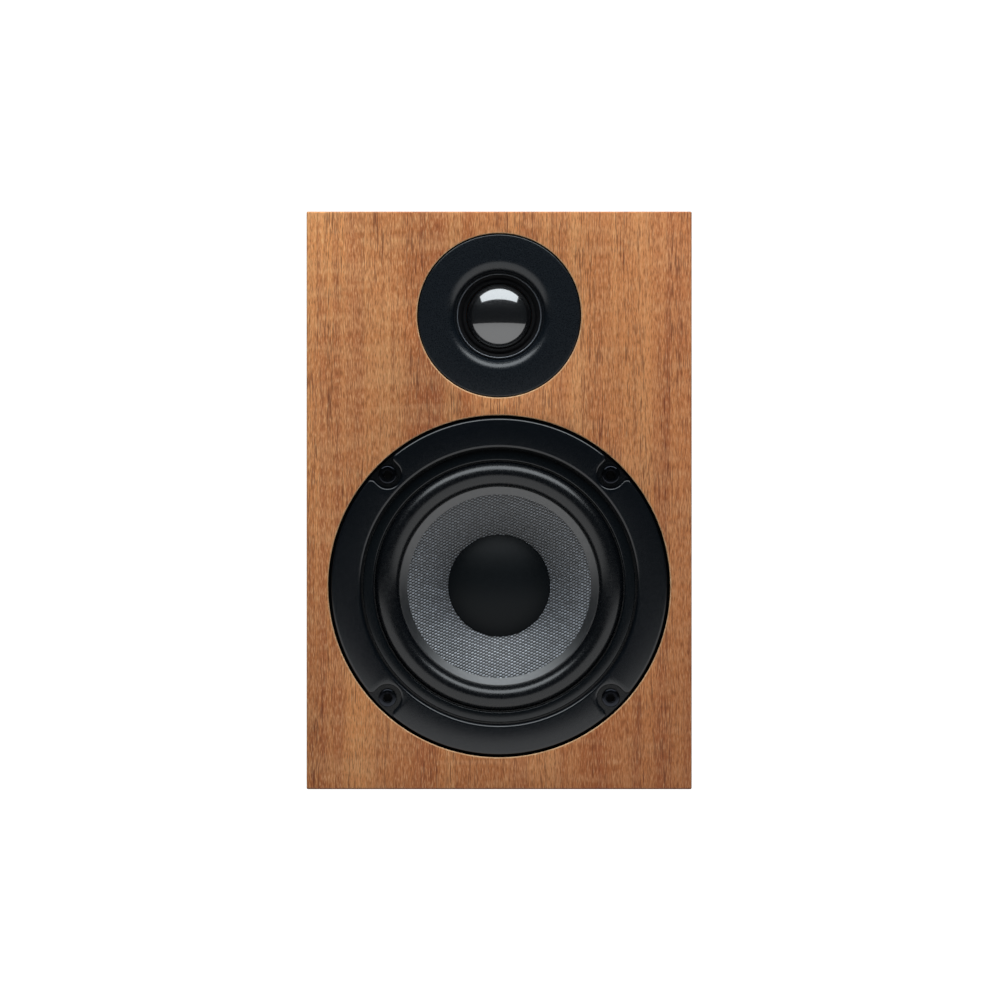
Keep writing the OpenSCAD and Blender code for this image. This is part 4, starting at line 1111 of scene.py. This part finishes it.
def build_port():
    flare, top, wall = 10.0, 2.5, 2.4
    lip, outer, end = PORT_R + flare + 3, PORT_R + wall, top - PORT_L
    outline = arc(PORT_R + flare, top - flare, flare, 180, 90, 28)
    outline += [(lip - 1.9, top), (lip - 1.75, top - 0.25), (lip - 1.45, top - 0.25), (lip - 1.3, top)]
    outline += arc(lip - 0.6, top - 0.6, 0.6, 90, 0, 5)
    outline += [(lip, 0), (outer + 0.5, 0), (outer + 0.5, -12), (outer, -14), (outer, end + 4)]
    outline += arc(outer + 2.5, end + 0.9, 0.5, 60, -60, 6)
    outline += arc(PORT_R + 4, end + 4, 4, 270, 180, 14)
    adopt(lathe("port", outline, PORT, PORT_PLASTIC, steps=256), "cabinet", "basket_plastic", "port_tube")


def at_cup_screws():
    return [CUP @ Matrix.Translation((x, y, 0)) for x in (-38, 38) for y in (-25, 25)]


def build_cup():
    low = CUP_GASKET_T
    flange = [(rounded_rect(86, 60, 5), low), (rounded_rect(86, 60, 5), CUP_TOP - 0.8)]
    flange += [(rounded_rect(84.4 + 2 * x, 58.4 + 2 * x, 4.2 + x), CUP_TOP - 0.8 + y)
               for x, y in arc(0, 0, 0.8, 15, 90, 5)]
    cup = loft("cup", flange, CUP, CUP_PLASTIC)
    tub = [(rounded_rect(CUP_W + 2, CUP_H + 2, 5), CUP_BACK),
           (rounded_rect(CUP_W + 4, CUP_H + 4, 6), CUP_BACK + 1)]
    tub.append((rounded_rect(CUP_W + 4, CUP_H + 4, 6), low + 0.5))
    carve(cup, loft("cut", tub, CUP, None), operation="UNION")
    cavity = [(rounded_rect(CUP_W - 2.4 + 2 * x, CUP_H - 2.4 + 2 * x, 2.8 + x), CUP_FLOOR + 1.2 + y)
              for x, y in arc(0, 0, 1.2, -90, 0, 6)]
    rim = CUP_TOP - 1.2
    cavity += [(rounded_rect(CUP_W + 2.4 - 2 * x, CUP_H + 2.4 - 2 * x, 5.2 - x), rim + y)
               for x, y in arc(0, 0, 1.2, 0, 90, 6)]
    cavity.append((rounded_rect(CUP_W + 2.4, CUP_H + 2.4, 5.2), CUP_TOP + 2))
    carve(cup, loft("cut", cavity, CUP, None))
    for side in POSTS.values():
        post = CUP @ Matrix.Translation((side * POST_X / MM, 0, 0))
        collar = [(0, CUP_FLOOR - 1), (8.2, CUP_FLOOR - 1), (8.2, CUP_FLOOR + 1.1),
                  (7.8, CUP_FLOOR + 1.5), (0, CUP_FLOOR + 1.5)]
        carve(cup, lathe("cut", collar, post, None, steps=96), operation="UNION")
        carve(cup, hole_cutter("cut", post, 3.02, CUP_BACK - 2, CUP_FLOOR + 4, steps=48))
    for place in at_cup_screws():
        carve(cup, hole_cutter("cut", place, 1.8, -2, 6, steps=32))
    for side in POSTS.values():
        bars = [(5.0, 1.1)] if side > 0 else [(5.0, 1.1), (1.1, 1.95), (1.1, -1.95)]
        for width, rise in bars:
            height = 1.1 if width > 2 else 1.95
            shift = 0.0 if width > 2 else math.copysign(0.55 + 0.975, rise)
            mark = CUP @ Matrix.Translation((side * POST_X / MM, 13.5 + shift, CUP_FLOOR))
            box = rectangle(width, height)
            carve(cup, loft("cut", [(box, -0.4), (box, 3)], mark, None))
    adopt(cup, "cabinet", "basket_plastic", "terminal_cup")


def build_cup_trim():
    outer = rounded_rect(85, 59, 5)
    band = loft("terminal_gasket", [(outer, 0.0), (outer, CUP_GASKET_T)], CUP, FOAM)
    inner = rounded_rect(CUP_W + 5, CUP_H + 5, 6)
    carve(band, loft("cut", [(inner, -1), (inner, 2)], CUP, None))
    for place in at_cup_screws():
        carve(band, hole_cutter("cut", place, 1.8, -2, 3, steps=24))
    adopt(band, "cabinet", "foam", "terminal_cup_gasket")
    for i, place in enumerate(at_cup_screws()):
        turn = Matrix.Rotation(math.radians(12 + 29 * i), 4, "Z")
        place = place @ Matrix.Translation((0, 0, CUP_TOP)) @ turn
        screw = cross_screw(f"terminal_cup_screw_{i + 1}", place, 1.25, 11.8, 3.0, 1.9, BLACK_STEEL)
        adopt(screw, "cabinet", "black_steel", "terminal_cup_screws")


def build_stud(colour, place):
    """A gilt stud with a real one-millimetre thread and a socket for a banana plug."""
    low, high, radius, socket_r, depth = -33.0, -1.4, 3.0, 2.05, 16.0
    steps, pitch, cut = 48, 1.0, 0.22
    levels = np.arange(low + 0.5, high - 0.45, pitch / 6)
    bm = bmesh.new()
    rings = []

    def ring(radius_at, level):
        angles = [2 * math.pi * k / steps for k in range(steps)]
        corners = [(radius_at(a) * math.cos(a), radius_at(a) * math.sin(a), level) for a in angles]
        rings.append([bm.verts.new(place @ Vector(corner)) for corner in corners])

    def thread(level):
        def radius_at(a):
            phase = (level / pitch - a / (2 * math.pi)) % 1.0
            return radius - cut * (1 - min(1.0, 2.2 * abs(phase - 0.5)))
        return radius_at

    ring(lambda a: radius - 0.45, low)
    for level in levels:
        ring(thread(level), float(level))
    ring(lambda a: radius - 0.35, high)
    ring(lambda a: socket_r + 0.3, high)
    ring(lambda a: socket_r, high - 0.3)
    ring(lambda a: socket_r, high - depth)
    for first, second in zip(rings, rings[1:]):
        for k in range(steps):
            m = (k + 1) % steps
            bm.faces.new((first[k], first[m], second[m], second[k]))
    bm.faces.new(rings[0][::-1])
    bm.faces.new(rings[-1])
    stud = from_bmesh(f"{colour}_stud", bm, GOLD, 30)
    adopt(stud, "cabinet", "gold_plate", f"{colour}_post_stud")


def fluted(radius, flute, count=20, steps=12):
    points = []
    for k in range(count * steps):
        a = 2 * math.pi * k / (count * steps)
        dip = max(0.0, math.cos(a * count)) ** 0.7
        points.append(((radius - flute * dip) * math.cos(a), (radius - flute * dip) * math.sin(a)))
    return points


def build_knob(colour, place, material):
    """A fluted grip over a plain collar, with a gilt bush in its end."""
    base = -16.9
    profile = [
        (0.0, 6.4, 0), (0.25, 6.72, 0), (0.5, 6.8, 0), (1.2, 6.8, 0), (1.45, 6.72, 0), (1.6, 6.4, 0),
        (1.7, 6.0, 0),
        (2.1, 6.0, 0), (2.25, 6.3, 0.1), (2.6, 6.7, 0.4), (3.0, 6.8, 0.45), (14.9, 6.8, 0.45),
        (15.4, 6.7, 0.4),
        (15.8, 6.35, 0.15), (15.95, 6.0, 0), (16.2, 5.9, 0), (16.5, 5.5, 0),
    ]
    grip = loft(f"{colour}_grip", [(fluted(r, f), base + z) for z, r, f in profile],
                place, material, sharp=45)
    carve(grip, hole_cutter("cut", place, 3.08, base - 1, base + 18, steps=48), sharp=45)
    carve(grip, hole_cutter("cut", place, 4.2, base + 14.5, base + 18, steps=48), sharp=45)
    adopt(grip, f"{colour}_knob_body", f"knob_{colour}", f"{colour}_knob")
    top = base + 16.4
    outline = [(3.1, base + 14.6), (4.15, base + 14.6), (4.15, top - 0.2), (3.95, top),
               (3.35, top), (3.1, top - 0.25)]
    adopt(lathe(f"{colour}_knob_bush", outline, place, GOLD, steps=64), f"{colour}_knob_body", "gold_plate")


def build_post(colour, side, material):
    place = CUP @ Matrix.Translation((side * POST_X / MM, 0, 0))
    build_stud(colour, place)
    build_knob(colour, place, material)
    low, high = -18.2, -17.2
    outline = [(3.08, low)] + arc(6.7, low + 0.2, 0.2, -90, 0, 3)
    outline += arc(6.7, high - 0.2, 0.2, 0, 90, 3) + [(3.08, high)]
    washer = lathe(f"{colour}_washer", outline, place, GOLD, steps=96)
    adopt(washer, f"{colour}_clamp_washer_body", "gold_plate", f"{colour}_clamp_washer")


build_port()
build_cup()
build_cup_trim()
build_post("red", POSTS["red"], KNOB_RED)
build_post("black", POSTS["black"], KNOB_BLACK)

# ---------------------------------------------------------------- crossover, wires and wadding

BOARD_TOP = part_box("crossover_board")[1][2] / MM
BOARD_Y = centre("crossover_board").y / MM
CAPACITORS = ((24, 4, 6.5, 30), (28, 19, 5.5, 22), (0, 30, 4.5, 15))
RESISTORS = ((-30, 18, 22, 9), (-30, 30, 18, 7))
WIRE_R = 1.1
WIRES = {
    "input_wires": [
        (9.5, 64.4, 52.5), (9.5, 64.4, 48), (9.6, 63, 42), (10, 59.5, 35), (11, 55.5, 28.5),
        (12, 50.5, 23.5),
        (13, 44, 20.9),
    ],
    "woofer_wires": [
        (5, -11, 20.9), (4.8, -17, 22.5), (4.2, -26, 26), (3.7, -36, 28.3), (3.6, -44, 28.6),
        (3.6, -51, 28.6),
        (3.6, -57, 28.6),
    ],
    "tweeter_wires": [
        (-44, -6, 20.9), (-45.5, -10, 25), (-47.5, -14, 34), (-48.4, -18, 50), (-48.4, -20, 75),
        (-48.4, -22, 100),
        (-47, -26, 122), (-42, -34, 142), (-33, -44, 155), (-22, -51, 160.5), (-12, -55.5, 162.5),
        (-5, -57.6, 165),
    ],
}
TWEETER_RETURN_END = [(-9, -50, 160), (0, -52.5, 160.5), (5, -56.5, 163), (5, -57.4, 165.2)]


def on_board(x, y, z=0.0):
    return UPRIGHT @ Matrix.Translation((x, BOARD_Y + y, BOARD_TOP + z))


def lead(name, route, body="cabinet", slot="tinned_brass"):
    adopt(tube(name, route, 0.35, UPRIGHT, TIN, sides=10, sub=5), body, slot)


def end_leads(name, x, y, length, height):
    """Two bare leads that leave the ends of a part and turn down into the board."""
    for i, side in enumerate((-1, 1)):
        end = x + side * length / 2
        wide = end + side * 1.4
        top = BOARD_TOP + height
        lead(f"{name}_lead_{i + 1}", [
            (end - side * 0.3, BOARD_Y + y, top), (end + side * 0.7, BOARD_Y + y, top),
            (wide, BOARD_Y + y, top - 0.7), (wide, BOARD_Y + y, BOARD_TOP + 0.02),
        ])


def build_crossover():
    for i, (x, y, r, l) in enumerate(CAPACITORS):
        place = on_board(x, y, r) @ Matrix.Rotation(math.pi / 2, 4, "Y")
        half = l / 2
        outline = [(0, -half)] + [(r * 0.7, -half)] + arc(r - 0.8, -half + 0.8, 0.8, -90, 0, 5)
        outline += [(r, half - 2.6), (r - 0.5, half - 2.0), (r - 0.5, half - 1.5), (r, half - 1.0)]
        outline += arc(r - 0.6, half - 0.6, 0.6, 30, 90, 4) + [(r * 0.75, half - 0.3), (0, half - 0.3)]
        can = lathe(f"capacitor_{i + 1}", outline, place, FILM_SLEEVE, steps=96)
        adopt(can, "cabinet", "capacitor_film", "crossover_capacitors")
        end_leads(f"capacitor_{i + 1}", x, y, l, r)
    for i, (x, y, l, h) in enumerate(RESISTORS):
        block = rounded_block(f"resistor_{i + 1}", l, h, 0.7, 0, h, 0.5, on_board(x, y), CEMENT)
        adopt(block, "cabinet", "resistor_cement", "crossover_resistors")
        end_leads(f"resistor_{i + 1}", x, y, l, h / 2)
    large = on_board(-24, -12)
    small = on_board(15.5, -20, 12) @ Matrix.Rotation(math.pi / 2, 4, "Y")
    coils = (("large", large, 18, 7.05, 16), ("small", small, 11, 5.05, 13))
    for name, place, outer, inner, height in coils:
        turns = round(height - 3)
        coil = lathe(f"{name}_winding", scallops(outer, 1.5, height - 1.5, turns, inner),
                     place, COPPER, steps=160)
        adopt(coil, "cabinet", "copper_wire", "crossover_windings")
    corners = [(x, y) for x in (-43, 43) for y in (-33, 33)]
    for i, (x, y) in enumerate(corners):
        place = on_board(x, y) @ Matrix.Rotation(math.radians(20 + 37 * i), 4, "Z")
        screw = cross_screw(f"crossover_screw_{i + 1}", place, 1.38, 15.1, 2.8, 1.8, ZINC)
        adopt(screw, "cabinet", "zinc_steel", "crossover_screws")


def build_wires():
    for node, route in WIRES.items():
        if node == "tweeter_wires":
            second = [(x + 3.2, y + 3.2, z) for x, y, z in route[:10]] + TWEETER_RETURN_END
        else:
            second = [(-x, y, z) for x, y, z in route]
        for colour, points, material in (("red", route, WIRE_RED), ("black", second, WIRE_BLACK)):
            wire = tube(f"{node[:-1]}_{colour}", points, WIRE_R, UPRIGHT, material, sides=16, sub=8)
            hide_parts(node)
            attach(wire, "cabinet")


def wadding_pad(name, low, high, node):
    """A loose fibre pad: rounded, lumpy and a little pinched, inside the space from low to high."""
    low, high = Vector(low), Vector(high)
    size = high - low
    counts = [max(4, round(side / 0.0045)) for side in size]
    round_r = min(size) * 0.42
    bm = bmesh.new()
    verts = {}

    def vert(key):
        if key not in verts:
            point = Vector([low[i] + size[i] * key[i] / counts[i] for i in range(3)])
            inner = Vector([min(max(point[i], low[i] + round_r), high[i] - round_r) for i in range(3)])
            out = point - inner
            if out.length > 1e-9:
                out.normalize()
            lump = noise.noise(point * 45) * 0.5 + noise.noise(point * 160) * 0.28
            lump += noise.noise(point * 420) * 0.16
            verts[key] = bm.verts.new(inner + out * (round_r - 0.0011 + 0.0012 * lump))
        return verts[key]

    for axis in range(3):
        u, v = [i for i in range(3) if i != axis]
        for end in (0, counts[axis]):
            for i in range(counts[u]):
                for k in range(counts[v]):
                    keys = []
                    for du, dv in ((0, 0), (1, 0), (1, 1), (0, 1)):
                        key = [0, 0, 0]
                        key[axis], key[u], key[v] = end, i + du, k + dv
                        keys.append(tuple(key))
                    bm.faces.new([vert(key) for key in keys])
    pad = from_bmesh(name, bm, WADDING, 80)
    return adopt(pad, "cabinet", "wadding", node)


def build_wadding():
    low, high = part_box("side_wadding")
    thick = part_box("top_wadding")[1][2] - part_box("top_wadding")[0][2]
    wadding_pad("wadding_left", low, (low[0] + thick, high[1], high[2]), "side_wadding")
    wadding_pad("wadding_right", (high[0] - thick, low[1], low[2]), high, "side_wadding")
    wadding_pad("wadding_top", *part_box("top_wadding"), "top_wadding")


build_crossover()
build_wires()
build_wadding()

# ---------------------------------------------------------------- CAD nodes that keep their shape

KEPT = {
    "left_side_panel": WALNUT_SIDE,
    "right_side_panel": WALNUT_SIDE,
    "top_panel": WALNUT_TOP,
    "bottom_panel": WALNUT_TOP,
    "rear_panel": PAINT,
    "woofer_coil_former": FOIL,
    "woofer_top_plate": ZINC,
    "woofer_magnet": FERRITE,
    "woofer_pole_plate": ZINC,
    "tweeter_coil_former": FOIL,
    "tweeter_top_plate": ZINC,
    "tweeter_magnet": FERRITE,
    "tweeter_pole_plate": ZINC,
    "red_post_nuts": TIN,
    "black_post_nuts": TIN,
    "red_solder_tag": TIN,
    "black_solder_tag": TIN,
    "crossover_board": CIRCUIT,
    "crossover_spacers": NYLON,
    "crossover_bobbins": BOBBIN,
}

for node, made in KEPT.items():
    mesh = nodes[node].data
    mesh.materials.clear()
    mesh.materials.append(made)

# ---------------------------------------------------------------- stage, light and camera

CAMERA_DISTANCE = 2.0
VIEW_WIDTH = 0.3894
SENSOR = 36.0
FLOOR_R = 0.8


def add_floor():
    bm = bmesh.new()
    bmesh.ops.create_circle(bm, cap_ends=True, segments=96, radius=FLOOR_R)
    mesh = bpy.data.meshes.new("floor")
    bm.to_mesh(mesh)
    bm.free()
    look = Look("floor", (0.3, 0.3, 0.3), 0.7)
    look.set("Emission Color", (1, 1, 1, 1))
    look.set("Emission Strength", 1.0)
    floor = add_object("floor", mesh, look.material)
    floor.location.z = -0.0002
    floor.visible_diffuse = False


def add_area(name, position, target, size, watts, glossy=True):
    light = bpy.data.lights.new(name, "AREA")
    light.shape = "RECTANGLE"
    light.size, light.size_y = size
    light.energy = watts
    obj = bpy.data.objects.new(name, light)
    bpy.context.scene.collection.objects.link(obj)
    obj.location = position
    obj.rotation_euler = (Vector(target) - Vector(position)).to_track_quat("-Z", "Y").to_euler()
    obj.visible_glossy = glossy
    obj.visible_camera = False
    light.color = (0.9, 0.96, 1.0)
    return obj


def add_world():
    """White to the camera, and a dim grey room to everything else."""
    world = bpy.data.worlds.new("room")
    world.use_nodes = True
    tree = world.node_tree
    tree.nodes.clear()
    path = tree.nodes.new("ShaderNodeLightPath")
    white = tree.nodes.new("ShaderNodeBackground")
    dim = tree.nodes.new("ShaderNodeBackground")
    mix = tree.nodes.new("ShaderNodeMixShader")
    out = tree.nodes.new("ShaderNodeOutputWorld")
    white.inputs[0].default_value = (1, 1, 1, 1)
    white.inputs[1].default_value = 1.1
    dim.inputs[0].default_value = (0.78, 0.9, 1.0, 1)
    dim.inputs[1].default_value = 0.045
    tree.links.new(path.outputs["Is Camera Ray"], mix.inputs[0])
    tree.links.new(dim.outputs[0], mix.inputs[1])
    tree.links.new(white.outputs[0], mix.inputs[2])
    tree.links.new(mix.outputs[0], out.inputs[0])
    bpy.context.scene.world = world


def add_camera():
    data = bpy.data.cameras.new("camera")
    data.sensor_width = SENSOR
    data.lens = SENSOR * CAMERA_DISTANCE / VIEW_WIDTH
    camera = bpy.data.objects.new("camera", data)
    bpy.context.scene.collection.objects.link(camera)
    camera.location = (0.00033, FRONT_Y - CAMERA_DISTANCE, 0.11265)
    camera.rotation_euler = (math.radians(90), 0, 0)
    bpy.context.scene.camera = camera


middle = (0, FRONT_Y, TOP_Z / 2)
add_floor()
add_area("softbox above", (0, FRONT_Y - 0.38, 0.81), (0, FRONT_Y, TWEETER_Z), (1.2, 0.48), 10.6)
add_area("front fill", (0.7, FRONT_Y - 1.5, 0.9), middle, (1.0, 1.0), 3.5, glossy=False)
add_world()
add_camera()
bpy.context.scene.view_settings.view_transform = "Standard"
